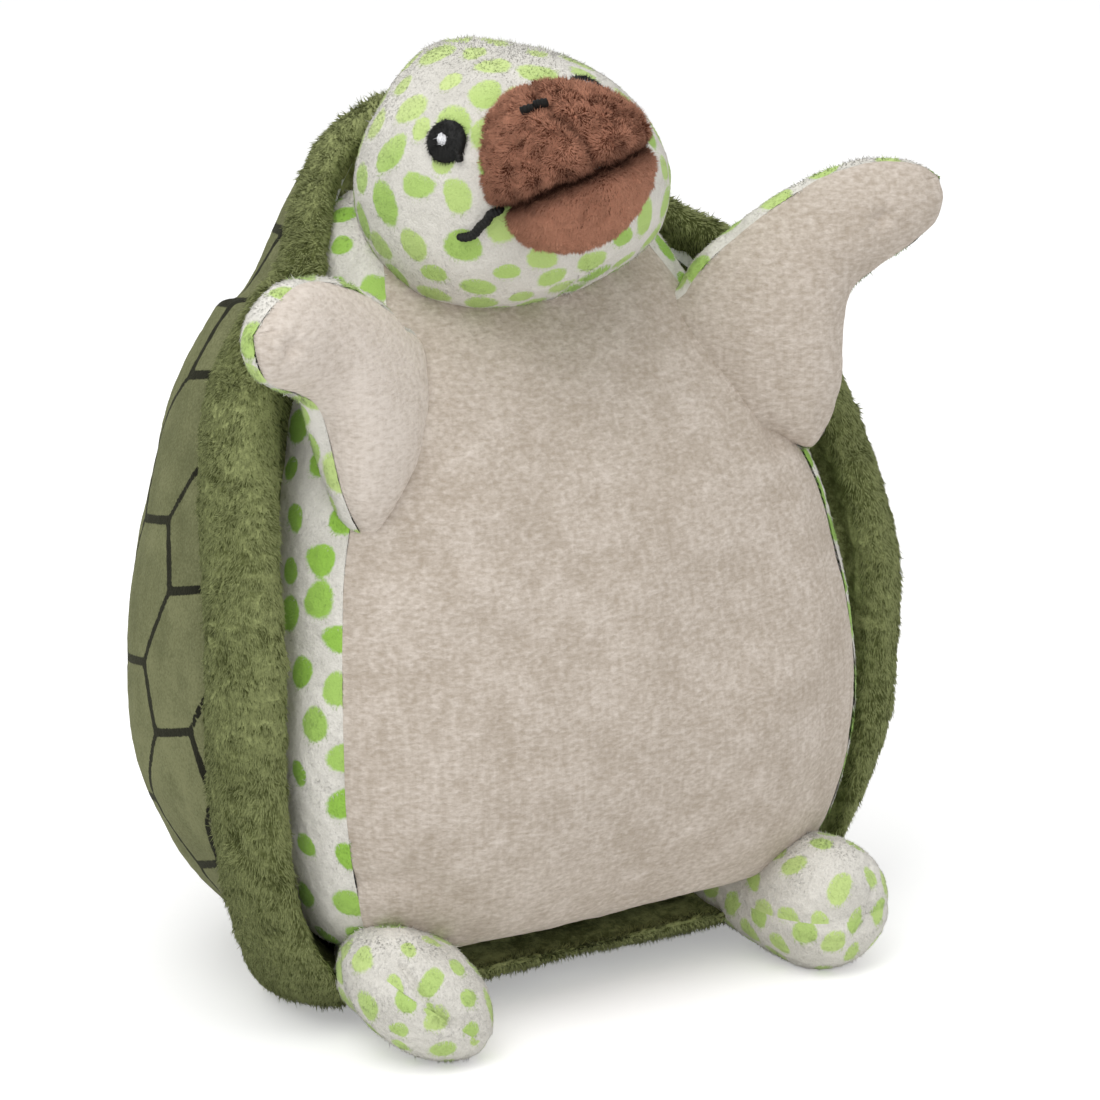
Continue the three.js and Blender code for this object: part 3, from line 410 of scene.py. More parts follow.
def even_places(curve, low, high, count):
    """Parameter values that cut a curve into pieces of equal length."""
    at = np.linspace(low, high, 6001)
    steps = np.linalg.norm(np.diff(curve(at), axis=0), axis=1)
    lengths = np.concatenate([[0], np.cumsum(steps)])
    return np.interp(np.linspace(0, lengths[-1], count), lengths, at)


def turned(points, x=0.0, y=0.0, z=0.0, to=(0, 0, 0)):
    """Points turned about Y, then X, then Z, and moved."""
    matrix = Matrix.Rotation(z, 3, "Z") @ Matrix.Rotation(x, 3, "X") @ Matrix.Rotation(y, 3, "Y")
    return points @ np.array(matrix).T + np.asarray(to, float)


# Forms
def lean(height):
    """How far the front plane leans back: a hyperbola from near the middle, pressed back at the top."""
    bend = np.hypot(LEAN_SOFT, LEAN_SLOPE * np.maximum(height - LEAN_START, 0)) - LEAN_SOFT
    return bend + LEAN_TOP * smooth_step(height, *LEAN_TOP_SPAN)


def slimness(height):
    """The roll's thickness as a share of its full one: a smooth step of height."""
    return 1 - ROLL_SLIM * smooth_step(height, *ROLL_SLIM_SPAN)


def opening(turn):
    """The egg outline of the lip: an ellipse squared off at its bottom, wider below than above. The soft roll
    sags in at the shoulders by a smooth step of height."""
    power = OPENING_SQUARE - OPENING_SQUARE_CHANGE * np.cos(turn)
    x = OPENING_HALF_WIDTH * (1 + OPENING_EGG * np.cos(turn)) * signed_power(np.sin(turn), power)
    z = OPENING_MIDDLE - OPENING_HALF_HEIGHT * np.cos(turn)
    return x * (1 - OPENING_SAG * smooth_step(z, *OPENING_SAG_SPAN)), z


def opening_turns(count):
    """Turns that part the outline evenly. Turns are first spread by a power, as the bottom is so square."""

    def turn_of(angle):
        side = signed_power(np.sin(angle), 2.4)
        return np.where(np.abs(angle) > pi / 2, np.sign(angle) * pi - np.arcsin(side), np.arcsin(side))

    def outline(angle):
        x, z = opening(turn_of(angle))
        return stack(x, 0, z)

    return turn_of(even_places(outline, -pi, pi, count + 1)[:-1])


def rim_point(turn, share):
    """The roll's section, carried along the outline and laid square to the leaning lip. Below, it blends
    into a section that tucks back under the turtle and is flat on the ground."""
    x, z = opening(turn)
    small = 0.01
    before_x, before_z = opening(turn - small)
    after_x, after_z = opening(turn + small)
    length = np.hypot(after_x - before_x, after_z - before_z)
    out_x = (after_z - before_z) / length
    out_z = -(after_x - before_x) / length
    slim = slimness(z)
    out = ROLL_OUT * smooth_table(ROLL_PLACES, ROLL_OUT_SHARES)(share) * slim
    back = ROLL_DEEP * smooth_table(ROLL_PLACES, ROLL_BACK_SHARES)(share) * slim
    reach = 2
    slope = (lean(z + reach) - lean(z - reach)) / (2 * reach)
    level = 1 / np.hypot(1, slope)
    lip = lean(z) - LIP_FORWARD
    side = stack(
        x + out * out_x,
        lip + (out * out_z * slope + back) * level,
        z + (out * out_z - back * slope) * level,
    )
    under = stack(
        x * (1 - smooth_table(ROLL_PLACES, BASE_IN_SHARES)(share)),
        lip + BASE_DEEP * smooth_table(ROLL_PLACES, BASE_BACK_SHARES)(share),
        z * (1 - smooth_table(ROLL_PLACES, BASE_DROP_SHARES)(share)),
    )
    blend = np.broadcast_to(smooth_step(z, *BASE_SPAN), side.shape[:-1])[..., None]
    return under + (side - under) * blend


def dome_point(turn, share):
    """The domed back: from the rear seam to its crown, a quarter of an oval squared by a power."""
    seam = rim_point(turn, np.ones_like(share))
    spread = OPENING_HALF_HEIGHT / 2
    high = smooth_step(seam[..., 2], DOME_MIDDLE - spread, DOME_MIDDLE + spread)
    power = DOME_SQUARE + DOME_SQUARE_CHANGE * high
    near = np.cos(share * pi / 2).clip(0) ** power
    far = np.sin(share * pi / 2) ** power
    return stack(
        seam[..., 0] * near,
        seam[..., 1] * (1 - far) + DOME_BACK * far,
        DOME_MIDDLE + (seam[..., 2] - DOME_MIDDLE) * near,
    )


def torso_share(height):
    return (height - TORSO_BOTTOM) / TORSO_HEIGHT


def torso_ring(height):
    """Half width, front and back of the level section at a height, from their tables."""
    share = torso_share(height)
    half = TORSO_HALF_WIDTH * smooth_table(TORSO_PLACES, TORSO_WIDTH_SHARES)(share)
    front = -TORSO_FRONT * smooth_table(TORSO_PLACES, TORSO_FRONT_SHARES)(share)
    back = TORSO_BACK * smooth_table(TORSO_PLACES, TORSO_BACK_SHARES)(share)
    return half, front, back


def torso_point(turn, height):
    """A level section squared by a power. Turn 0 is the middle of the belly."""
    half, front, back = torso_ring(height)
    middle = (front + back) / 2
    deep = (back - front) / 2
    return stack(
        half * signed_power(np.sin(turn), TORSO_SQUARE),
        middle - deep * signed_power(np.cos(turn), TORSO_SQUARE),
        height,
    )


def belly_seam_turn(height):
    """The turn of the seam between belly and gusset."""
    seam = smooth_table(TORSO_PLACES, BELLY_SEAM_SHARES)(torso_share(height))
    return np.arcsin(signed_power(seam, 1 / TORSO_SQUARE))


def head_place(local):
    """A point of the head's own frame, put where the head sits, tilted, looking up and turned."""
    return turned(local, HEAD_LOOK_UP, HEAD_TILT, HEAD_TURN, HEAD_CENTRE)


def pressed(points, presses):
    """Points of an oval ball moved by its presses: what lies past a press's start goes back along its
    direction by a hyperbola of how far past it is, times the share."""
    for way, start, share in presses:
        past = np.maximum(points @ np.array(way) - start, 0)
        points = points - share * (np.hypot(PRESS_SOFT, past) - PRESS_SOFT)[..., None] * np.array(way)
    return points


def head_point(turn, rise, inset=0.0):
    """An oval ball, flatter above than below and softly pressed. Turn 0 faces ahead, and rise is its angle of
    height."""
    up = np.where(rise > 0, HEAD_UP, HEAD_DOWN) - inset
    return pressed(stack(
        (HEAD_HALF_WIDTH - inset) * np.cos(rise) * np.sin(turn),
        -(HEAD_HALF_DEEP - inset) * np.cos(rise) * np.cos(turn),
        up * np.sin(rise),
    ), HEAD_PRESSES)


def beak_point(turn, rise, inset=0.0):
    """An oval ball on the front of the head, softly pressed."""
    radii = BEAK_RADII - inset
    return BEAK_CENTRE + pressed(stack(
        radii[0] * np.cos(rise) * np.sin(turn),
        -radii[1] * np.cos(rise) * np.cos(turn),
        radii[2] * np.sin(rise),
    ), BEAK_PRESSES)


def mouth_rise(turn):
    """The angle of height of the mouth's crease on the beak: a parabola of the turn, level past the sides."""
    near = np.clip(turn, -pi / 2, pi / 2)
    return MOUTH_RISE + MOUTH_SLANT * near + MOUTH_CURVE * near**2


def flipper_frame(side):
    """Origin on the sewn root, and unit directions along the flipper, up its edge and out of its palm."""
    top, low = (np.array(place) * [side, 1, 1] for place in (FLIPPER_ROOT_TOP, FLIPPER_ROOT_LOW))
    tip = np.array(FLIPPER_TIPS[side])
    base = (top + low) / 2
    length = np.linalg.norm(tip - base)
    along = (tip - base) / length
    up = (top - low) - np.dot(top - low, along) * along
    up /= np.linalg.norm(up)
    palm = np.cross(along, up) * side
    return base - FLIPPER_BEHIND * palm, along, up, palm, length


def flipper_point(side, turn, share, inset=0.0):
    """Oval sections along the flipper, from a rounded root to a thin tip. Turn 0 is the leading edge, and
    the palm is on turns up to half a circle."""
    origin, along, up, palm, length = flipper_frame(side)
    place = np.clip(share, 0, FLIPPER_PLACES[-1])
    root = np.sqrt(np.clip(1 - (np.minimum(share, 0) * length / FLIPPER_THICK) ** 2, 0, 1))
    upper = FLIPPER_WIDE * smooth_table(FLIPPER_PLACES, FLIPPER_UPPER_SHARES)(place)
    lower = FLIPPER_WIDE * smooth_table(FLIPPER_PLACES, FLIPPER_LOWER_SHARES)(place)
    thick = FLIPPER_THICK * smooth_table(FLIPPER_PLACES, FLIPPER_THICK_SHARES)(place)
    tip = np.sqrt(np.clip((FLIPPER_END - share) / FLIPPER_END_SOFT, 0, 1))
    half = ((upper - lower) / 2 - inset) * tip
    across = (upper + lower) / 2 + half * np.cos(turn)
    out = (thick - inset) * root * tip * signed_power(np.sin(turn), FLIPPER_SQUARE)
    return (
        origin
        + (share * length)[..., None] * along
        + np.asarray(across)[..., None] * up
        + np.asarray(out)[..., None] * palm
    )


def foot_frame(side):
    """Origin on the sewn root, and unit directions along and across the foot, which is splayed outwards."""
    origin = np.array(FOOT_ROOT) * [side, 1, 1]
    along = np.array([side * sin(FOOT_SPLAY), -cos(FOOT_SPLAY), 0])
    across = np.array([cos(FOOT_SPLAY), side * sin(FOOT_SPLAY), 0])
    return origin, along, across


def foot_point(side, turn, share, inset=0.0):
    """Oval sections along the foot, from a rounded root to a blunt toe, cut off flat by the ground. Past the
    root, the sections change to the foot's own half sizes and roll over by its own angle."""
    origin, along, across = foot_frame(side)
    half_wide, half_high, roll = FOOT_ROUND[side]
    own = smooth_step(share, *FOOT_ROOT_SPAN)
    roll = roll * own
    level = np.array([0, 0, 1])
    wide_way = np.cos(roll)[..., None] * across - np.sin(roll)[..., None] * level
    high_way = np.sin(roll)[..., None] * across + np.cos(roll)[..., None] * level
    place = np.clip(share, 0, 1)
    root = np.sqrt(np.clip(1 - (np.minimum(share, 0) * FOOT_LENGTH / FOOT_BASE) ** 2, 0, 1))
    widest = FOOT_HALF_WIDTH + (half_wide - FOOT_HALF_WIDTH) * own
    highest = FOOT_HALF_HEIGHT + (half_high - FOOT_HALF_HEIGHT) * own
    wide = (widest * smooth_table(FOOT_PLACES, FOOT_WIDTH_SHARES)(place) - inset).clip(FOOT_LEAST)
    high = (highest * smooth_table(FOOT_PLACES, FOOT_HEIGHT_SHARES)(place) - inset).clip(FOOT_LEAST)
    wide = wide * (FOOT_ROOT_WIDE + (1 - FOOT_ROOT_WIDE) * root)
    high = high * root
    points = (
        origin
        + (share * (FOOT_LENGTH - inset))[..., None] * along
        + (wide * np.cos(turn))[..., None] * wide_way
        + (high * np.sin(turn))[..., None] * high_way
    )
    points[..., 2] = np.maximum(points[..., 2], inset)
    return points


# Cloth
def lattice_noise(points, cell, seed):
    """Smooth noise from -1 to 1: a random value on each corner of a lattice, blended between corners."""
    at = points / cell
    base = np.floor(at).astype(np.int64)
    part = at - base
    ease = part * part * (3 - 2 * part)
    total = np.zeros(points.shape[:-1])
    for corner in product((0, 1), repeat=3):
        x, y, z = np.moveaxis(base + np.array(corner), -1, 0)
        key = (x * 73856093) ^ (y * 19349663) ^ (z * 83492791) ^ (seed * 2654435761)
        key = ((key ^ (key >> 13)) * 1274126177) & 0xFFFFFFFF
        value = ((key ^ (key >> 16)) & 0xFFFF) / 0xFFFF
        weight = np.prod(np.where(corner, ease, 1 - ease), axis=-1)
        total += weight * value
    return total * 2 - 1


def lengths_along(points, axis):
    """The length along the cloth from its first edge, on one direction of the grid."""
    steps = np.linalg.norm(np.diff(points, axis=axis), axis=-1)
    start = np.zeros_like(np.take(steps, [0], axis=axis))
    return np.cumsum(np.concatenate([start, steps], axis=axis), axis=axis)


def seam_pull(points, axis, depth, width, first=True, last=True):
    """How far sewn edges pull the cloth in: the depth, times a bell curve of the length from the edge."""
    along = lengths_along(points, axis)
    whole = np.take(along, [-1], axis=axis)
    pull = np.zeros(along.shape)
    if first:
        pull = pull + np.exp(-((along / width) ** 2))
    if last:
        pull = pull + np.exp(-(((whole - along) / width) ** 2))
    return -depth * pull


def grid_normals(points, core, wrap):
    """Unit normals: the cross product of the grid's two directions, turned away from the core."""
    if wrap:
        across = np.roll(points, -1, axis=1) - np.roll(points, 1, axis=1)
    else:
        across = np.gradient(points, axis=1)
    normals = np.cross(across, np.gradient(points, axis=0))
    lengths = np.linalg.norm(normals, axis=-1, keepdims=True)
    normals = normals / np.maximum(lengths, 1e-9)
    for row, inner in ((0, 1), (-1, -2)):
        if lengths[row].max() < 0.05 * np.median(lengths):
            mean = normals[inner].mean(axis=0)
            normals[row] = mean / np.linalg.norm(mean)
    outwards = np.sum(normals * (points - core), axis=-1).mean() >= 0
    return (normals if outwards else -normals), outwards


def crease(points, path, depth, width):
    """How far a fold presses the cloth in: the depth, times a bell curve of the distance to a line."""
    path = np.asarray(path, float)
    nearest = np.full(points.shape[:-1], 1e6)
    for start, end in zip(path[:-1], path[1:]):
        step = end - start
        along = np.clip((points - start) @ step / (step @ step), 0, 1)
        nearest = np.minimum(nearest, np.linalg.norm(points - start - along[..., None] * step, axis=-1))
    return -depth * np.exp(-((nearest / width) ** 2))


def pulled_stitch(points, place, depth, width):
    """A dimple where a thread pulls the cloth in, with small puckers that run out from it: a bell curve of
    the distance, and a cosine of the angle round the place times a ring-shaped bell curve."""
    offset = points - np.asarray(place, float)
    far = np.linalg.norm(offset, axis=-1)
    angle = np.arctan2(offset[..., 2], offset[..., 0])
    ring = np.exp(-(((far - 1.7 * width) / (1.1 * width)) ** 2))
    return -depth * np.exp(-((far / width) ** 2)) + 0.1 * depth * np.cos(PUCKERS * angle) * ring


def pile_height(points, clumps, seed):
    """The pile's relief: noises of several sizes, each with its height."""
    height = np.zeros(points.shape[:-1])
    for number, (cell, amount) in enumerate(clumps):
        height += amount * lattice_noise(points, cell, seed + number)
    return height


def build(name, places, loops, totals, flat, layers):
    """A mesh in the scene, of points in millimetres, its faces' corners, their numbers, map and layers."""
    mesh = bpy.data.meshes.new(name)
    mesh.vertices.add(len(places))
    mesh.vertices.foreach_set("co", (places * MM).ravel())
    mesh.loops.add(len(loops))
    mesh.loops.foreach_set("vertex_index", loops)
    mesh.polygons.add(len(totals))
    mesh.polygons.foreach_set("loop_start", np.concatenate([[0], np.cumsum(totals)[:-1]]))
    mesh.polygons.foreach_set("loop_total", totals)
    mesh.update(calc_edges=True)
    mesh.uv_layers.new(name="OFBake").data.foreach_set("uv", flat.ravel())
    for layer, values in layers.items():
        data = values.ravel().astype(np.float32)
        mesh.attributes.new(layer, "FLOAT", "POINT").data.foreach_set("value", data)
    mesh.shade_smooth()
    piece = bpy.data.objects.new(name, mesh)
    bpy.context.scene.collection.objects.link(piece)
    return piece


def grid_mesh(name, points, wrap=False, low_pole=False, high_pole=False, outwards=True, layers=None):
    """A mesh of quads between the grid's rows and columns, given in millimetres. A pole row becomes one
    point with triangles round it. The map is the grid itself, laid out flat and kept inside its edges."""
    rows, columns = points.shape[:2]
    index = np.arange(rows * columns).reshape(rows, columns)
    if low_pole:
        index[0] = index[0, 0]
    if high_pole:
        index[-1] = index[-1, 0]
    used, index = np.unique(index, return_inverse=True)
    index = index.reshape(rows, columns)
    left = index if wrap else index[:, :-1]
    right = np.roll(index, -1, axis=1) if wrap else index[:, 1:]
    corners = np.stack([left[:-1], right[:-1], right[1:], left[1:]], axis=-1)
    count = left.shape[1]
    u, v = np.meshgrid(np.arange(count), np.arange(rows - 1))
    flat = np.stack([
        np.stack([u + du, v + dv], axis=-1) for du, dv in ((0, 0), (1, 0), (1, 1), (0, 1))
    ], axis=2).astype(float)
    flat = 0.01 + 0.98 * flat / np.array([count, rows - 1])
    keep = np.ones(corners.shape, bool)
    if low_pole:
        keep[0, :, 1] = False
        flat[0, :, 0, 0] += 0.49 / count
    if high_pole:
        keep[-1, :, 2] = False
        flat[-1, :, 3, 0] += 0.49 / count
    if not outwards:
        corners, keep, flat = corners[:, :, ::-1], keep[:, :, ::-1], flat[:, :, ::-1]
    layers = {layer: np.broadcast_to(values, (rows, columns)).ravel()[used]
              for layer, values in (layers or {}).items()}
    totals = keep.sum(axis=-1).ravel()
    return build(name, points.reshape(-1, 3)[used], corners[keep], totals, flat[keep], layers)


def sew(name, points, core, body, kind, node, key, pull=0.0, layers=None, shift=0, wrap=False,
        low_pole=False, high_pole=False, fill=0.8):
    """One panel of cloth: its form, moved out along its normals by its relief and in at its seams, and never
    below the ground. The key names its relief and its seed, to which the shift is added."""
    normals, outwards = grid_normals(points, core, wrap)
    clumps = RELIEF[key]
    height = pile_height(points, clumps, SEEDS[key] + shift)
    for row, pole in ((0, low_pole), (-1, high_pole)):
        if pole:
            height[row] = height[row].mean()
    placed = points + normals * (height + pull)[..., None]
    placed[..., 2] = np.maximum(placed[..., 2], 0)
    largest = sum(abs(amount) for _, amount in clumps)
    found = dict(layers or {})
    # The pile layer follows the relief's height; the pile finishes darken the colour where it is low: painted
    # shade in the relief's hollows
    found["pile"] = 0.5 + 0.5 * height / largest
    piece = grid_mesh(name, placed, wrap, low_pole, high_pole, outwards, found)
    finish(piece, kind)
    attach(piece, body)
    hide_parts(node)
    return placed


def at_cells(values, row, column, next_column, t, s):
    """Values of a grid at places inside its cells, blended between the four corners."""
    low = values[row, column] * (1 - s) + values[row, next_column] * s
    high = values[row + 1, column] * (1 - s) + values[row + 1, next_column] * s
    return low * (1 - t) + high * t


def pile_fibres(name, points, core, body, kind, length, seed, count, width, lean_share, comb=(0, 0, -1),
                swirl=0.7, swirl_cell=5.0, tones=(0.2, 1.2, 0.55), mottle=1.2, tilt=0.45, layers=None,
                keep=None, wrap=False):
    """Fibres of the pile, drawn as tufts thick enough to show: three-sided closed spikes. Their roots are
    spread evenly over the cloth's area. Each tip is the root plus the normal, plus the comb direction in
    the cloth's plane bent by a smooth swirl, times the length. Each spike has a small cell of the map to
    itself, and shades mostly with the cloth's own normal, as light passes through thin fibres. The tones
    are those of a fibre's foot and tip, and how much they change from tuft to tuft. The tilt is how far the
    shading follows the fibre."""
    random = np.random.default_rng(seed)
    normals, _ = grid_normals(points, core, wrap)
    rows, columns = points.shape[:2]
    right = np.roll(points, -1, axis=1) if wrap else points[:, 1:]
    left = points if wrap else points[:, :-1]
    area = np.linalg.norm(np.cross(right[:-1] - left[:-1], left[1:] - left[:-1]), axis=-1)
    if keep is not None:
        area = area * keep[:-1, : area.shape[1]]
    ends = np.cumsum(area.ravel())
    place = np.searchsorted(ends, (np.arange(count) + random.random(count)) / count * ends[-1])
    row, column = np.divmod(place.clip(0, area.size - 1), area.shape[1])
    where = (row, column, (column + 1) % columns, random.random((count, 1)), random.random((count, 1)))
    root = at_cells(points, *where)
    out = at_cells(normals, *where)
    out /= np.linalg.norm(out, axis=-1, keepdims=True)
    bend = np.stack([lattice_noise(root, swirl_cell, seed + k) for k in range(3)], axis=-1)
    lay = np.asarray(comb, float) + swirl * bend + random.normal(0, 0.22, (count, 3))
    lay -= np.sum(lay * out, axis=-1, keepdims=True) * out
    way = out * (1 - lean_share) + lay * lean_share
    way /= np.linalg.norm(way, axis=-1, keepdims=True)
    side = np.cross(way, out + 0.3 * random.normal(size=(count, 3)))
    side /= np.maximum(np.linalg.norm(side, axis=-1, keepdims=True), 1e-6)
    other = np.cross(way, side)
    reach = length * random.uniform(0.65, 1.2, (count, 1))
    spike = np.empty((count, 4, 3))
    for k in range(3):
        angle = 2 * pi * k / 3
        spike[:, k] = root - 0.35 * out + width / 2 * (cos(angle) * side + sin(angle) * other)
    spike[:, 3] = root + way * reach
    spike[..., 2] = np.maximum(spike[..., 2], 0)
    first = np.arange(count)[:, None, None] * 4
    faces = (first + np.array([[0, 1, 3], [1, 2, 3], [2, 0, 3], [0, 2, 1]])).reshape(-1, 3)
    cells = int(np.ceil(count**0.5))
    corner = np.stack(np.divmod(np.arange(count), cells)[::-1], axis=-1)[:, None, None]
    flat = np.array([[[k / 3 + 0.03, 0.06], [k / 3 + 0.3, 0.06], [k / 3 + 0.165, 0.74]] for k in range(3)]
                    + [[[0.1, 0.8], [0.9, 0.8], [0.5, 0.96]]])
    flat = 0.005 + 0.99 * (corner + flat) / cells
    # A fibre's foot is toned darker than its tip: painted shade deep in the pile
    foot_tone, tip_tone, change = tones
    tufts = lattice_noise(root, mottle, seed + 5)[:, None]
    tone = 0.94 + change * (0.7 * tufts + random.uniform(-0.6, 0.6, (count, 1)))
    found = {"pile": tone * np.array([[foot_tone, foot_tone, foot_tone, tip_tone]])}
    for layer, values in (layers or {}).items():
        values = np.broadcast_to(values, (rows, columns))
        found[layer] = at_cells(values[..., None], *where) * np.ones((1, 4))
    piece = build(name, spike.reshape(-1, 3), faces.ravel(), np.full(len(faces), 3), flat, found)
    facing = np.repeat(out + way * tilt, 4, axis=0)
    facing /= np.linalg.norm(facing, axis=-1, keepdims=True)
    piece.data.normals_split_custom_set_from_vertices(facing)
    finish(piece, kind)
    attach(piece, body)


def spotted_pile(name, cover, core, body, sizes, key, side, layers, keep=None):
    """The short pile of a spotted panel."""
    pile_fibres(name, cover, core, body, "spotted", sizes.head_pile / MM, SEEDS[f"{key}_pile"] + side,
                layers=layers, keep=keep, **FIBRES[key])


# The cloth that is let swell: points along each side of its coarse copy, its enlargement, its pressure and
# the number of frames
SWELL_POINTS = 30
SWELL_SCALE = 10
SWELL_PRESSURE = 40
SWELL_FRAMES = 20


def swell(points, core, cap):
    """How a sewn panel moves when its stuffing presses on it: a coarse copy, enlarged, is let go as cloth held
    at its edges with a pressure behind it. Where its largest move is past the cap, all are scaled down to
    that. They are carried to the fine panel by a smooth curve along each direction."""
    rows, columns = points.shape[:2]
    kept = [
        np.unique(np.linspace(0, last, SWELL_POINTS).round().astype(int)) for last in (rows - 2, columns - 1)
    ]
    coarse = points[kept[0]][:, kept[1]]
    _, outwards = grid_normals(points, core, False)
    piece = grid_mesh("panel to swell", coarse * SWELL_SCALE, outwards=outwards)
    edge = np.ones(coarse.shape[:2], bool)
    edge[1:-1, 1:-1] = False
    piece.vertex_groups.new(name="sewn").add(np.flatnonzero(edge).tolist(), 1.0, "REPLACE")
    cloth = piece.modifiers.new("cloth", "CLOTH").settings
    cloth.vertex_group_mass = "sewn"
    cloth.use_pressure = True
    cloth.uniform_pressure_force = SWELL_PRESSURE
    cloth.effector_weights.gravity = 0
    for number in range(1, SWELL_FRAMES + 1):
        bpy.context.scene.frame_set(number)
    swollen = piece.evaluated_get(bpy.context.evaluated_depsgraph_get()).data
    places = np.empty(coarse.size, np.float32)
    swollen.vertices.foreach_get("co", places)
    moved = places.reshape(coarse.shape) / (SWELL_SCALE * MM) - coarse
    moved = moved * min(1, cap / np.linalg.norm(moved, axis=-1).max())
    mesh = piece.data
    bpy.data.objects.remove(piece)
    bpy.data.meshes.remove(mesh)
    bpy.context.scene.frame_set(1)
    spread = []
    for count, places in zip((rows, columns), kept):
        at = np.minimum(np.arange(count), places[-1])
        spread.append(np.stack([smooth_table(places, one)(at) for one in np.eye(len(places))], axis=-1))
    return np.einsum("ri,ijk,cj->rck", spread[0], moved, spread[1])


def printed_spots(points, sizes, key, shift=0, fade=0.0):
    """Two layers for a printed spot cloth. Each next spot is put where the cloth is furthest from the spots
    there are, times a random weight. The first layer is 1 at the middle of a spot and 0 on its oval edge, and
    the second is the spot's own strength of colour."""
    spacing, share, strength = SPOTS[key]
    radius = sizes.spot_radius / MM * share
    seed = SEEDS[f"{key}_spots"] + shift
    random = np.random.default_rng(seed)
    flat = points.reshape(-1, 3)
    bent = flat + 0.9 * np.stack([lattice_noise(flat, 5.0, seed + k) for k in range(3)], axis=-1)
    weight = random.uniform(0.6, 1.0, len(flat))
    nearest = np.full(len(flat), 1e6)
    field = np.full(len(flat), -9.0)
    tone = np.zeros(len(flat))
    pick = random.integers(len(flat))
    for _ in range(400):
        centre = flat[pick]
        offset = bent - centre
        nearest = np.minimum(nearest, np.linalg.norm(flat - centre, axis=-1))
        axis = random.normal(size=3) + [0, 0, 1.2]
        axis /= np.linalg.norm(axis)
        stretch = random.uniform(1.1, 1.5)
        size = radius * random.uniform(0.76, 1.1)
        along = offset @ axis
        across = np.linalg.norm(offset - along[:, None] * axis, axis=-1)
        inside = 1 - np.hypot(along / (size * stretch), across / size)
        closer = inside > field
        field[closer] = inside[closer]
        tone[closer] = random.uniform(0.45, 1)
        score = nearest * weight
        pick = int(np.argmax(score))
        if score[pick] < spacing:
            break
    field = field.clip(-1, 1).reshape(points.shape[:-1])
    tone = tone.reshape(points.shape[:-1]) * (strength - fade)
    return {"spot": field, "tone": tone}


# Materials
def linear(colour):
    """sRGB hex to linear RGBA."""
    channels = [int(colour[k:k + 2], 16) / 255 for k in (1, 3, 5)]
    return tuple(c / 12.92 if c <= 0.04045 else ((c + 0.055) / 1.055) ** 2.4 for c in channels) + (1.0,)


def add(tree, kind, inputs=None, **settings):
    """Adds a node with its settings, its inputs given as values or as sockets to link."""
    node = tree.nodes.new(kind)
    for key, value in settings.items():
        setattr(node, key, value)
    for key, value in (inputs or {}).items():
        if isinstance(value, bpy.types.NodeSocket):
            tree.links.new(value, node.inputs[key])
        else:
            node.inputs[key].default_value = value
    return node


def new_material(name):
    material = bpy.data.materials.new(name)
    material.use_nodes = True
    material.node_tree.nodes.clear()
    return material, material.node_tree


def noise(tree, size_mm, stretch=(1, 1, 1), detail=2.0):
    """Noise whose grains are of a real size, on Object coordinates."""
    coordinates = add(tree, "ShaderNodeTexCoord").outputs["Object"]
    mapped = add(tree, "ShaderNodeMapping", {"Vector": coordinates, "Scale": stretch})
    return add(tree, "ShaderNodeTexNoise", {
        "Vector": mapped.outputs[0], "Scale": 1 / (size_mm * MM), "Detail": detail, "Roughness": 0.6,
    }).outputs["Fac"]


def attribute(tree, name):
    return add(tree, "ShaderNodeAttribute", attribute_name=name).outputs["Fac"]


def ramp_between(tree, value, low, high):
    """0 to 1 as the value goes from low to high, with soft ends."""
    return add(tree, "ShaderNodeMapRange", {
        "Value": value, "From Min": low, "From Max": high, "To Min": 0.0, "To Max": 1.0,
    }, interpolation_type="SMOOTHSTEP").outputs["Result"]


def mix(tree, factor, first, second):
    return add(tree, "ShaderNodeMix", {0: factor, 6: first, 7: second}, data_type="RGBA").outputs[2]


def total(tree, *terms):
    """The sum of (socket, share) terms."""
    result = None
    for socket, share in terms:
        scaled = {0: socket, 1: share}
        if result is None:
            result = add(tree, "ShaderNodeMath", scaled, operation="MULTIPLY").outputs[0]
        else:
            scaled[2] = result
            result = add(tree, "ShaderNodeMath", scaled, operation="MULTIPLY_ADD").outputs[0]
    return result


def finish_cloth(tree, colour, height, depth_mm, sheen, tint):
    """A matt cloth shader with a soft sheen, and a bump of a real depth."""
    bump = add(tree, "ShaderNodeBump", {"Height": height, "Distance": depth_mm * MM, "Strength": 0.6})
    shader = add(tree, "ShaderNodeBsdfPrincipled", {
        "Base Color": colour, "Roughness": 0.95, "Specular IOR Level": 0.12, "Sheen Weight": sheen,
        "Sheen Roughness": 0.5, "Sheen Tint": tint, "Normal": bump.outputs[0],
    })
    add(tree, "ShaderNodeOutputMaterial", {"Surface": shader.outputs[0]})


def olive_plush(colours):
    """Long-pile polyester plush, brushed: tufts 1 to 2 mm wide, with painted shade between them and at the
    fibres' feet, and lighter at the tips.
    """
    material, tree = new_material("olive long-pile plush")
    tufts = noise(tree, 1.1)
    hairs = noise(tree, 0.35, detail=3)
    patches = noise(tree, 14)
    depth = total(tree, (attribute(tree, "pile"), 1.0), (tufts, 0.6), (hairs, 0.4), (patches, 0.15))
    shade = ramp_between(tree, depth, 0.85, 1.45)
    colour = mix(tree, shade, tuple(colours.olive_root), tuple(colours.olive_tip))
    height = total(tree, (tufts, 0.6), (hairs, 0.4))
    finish_cloth(tree, colour, height, 0.7, 0.25, tuple(colours.olive_tip))
    return material


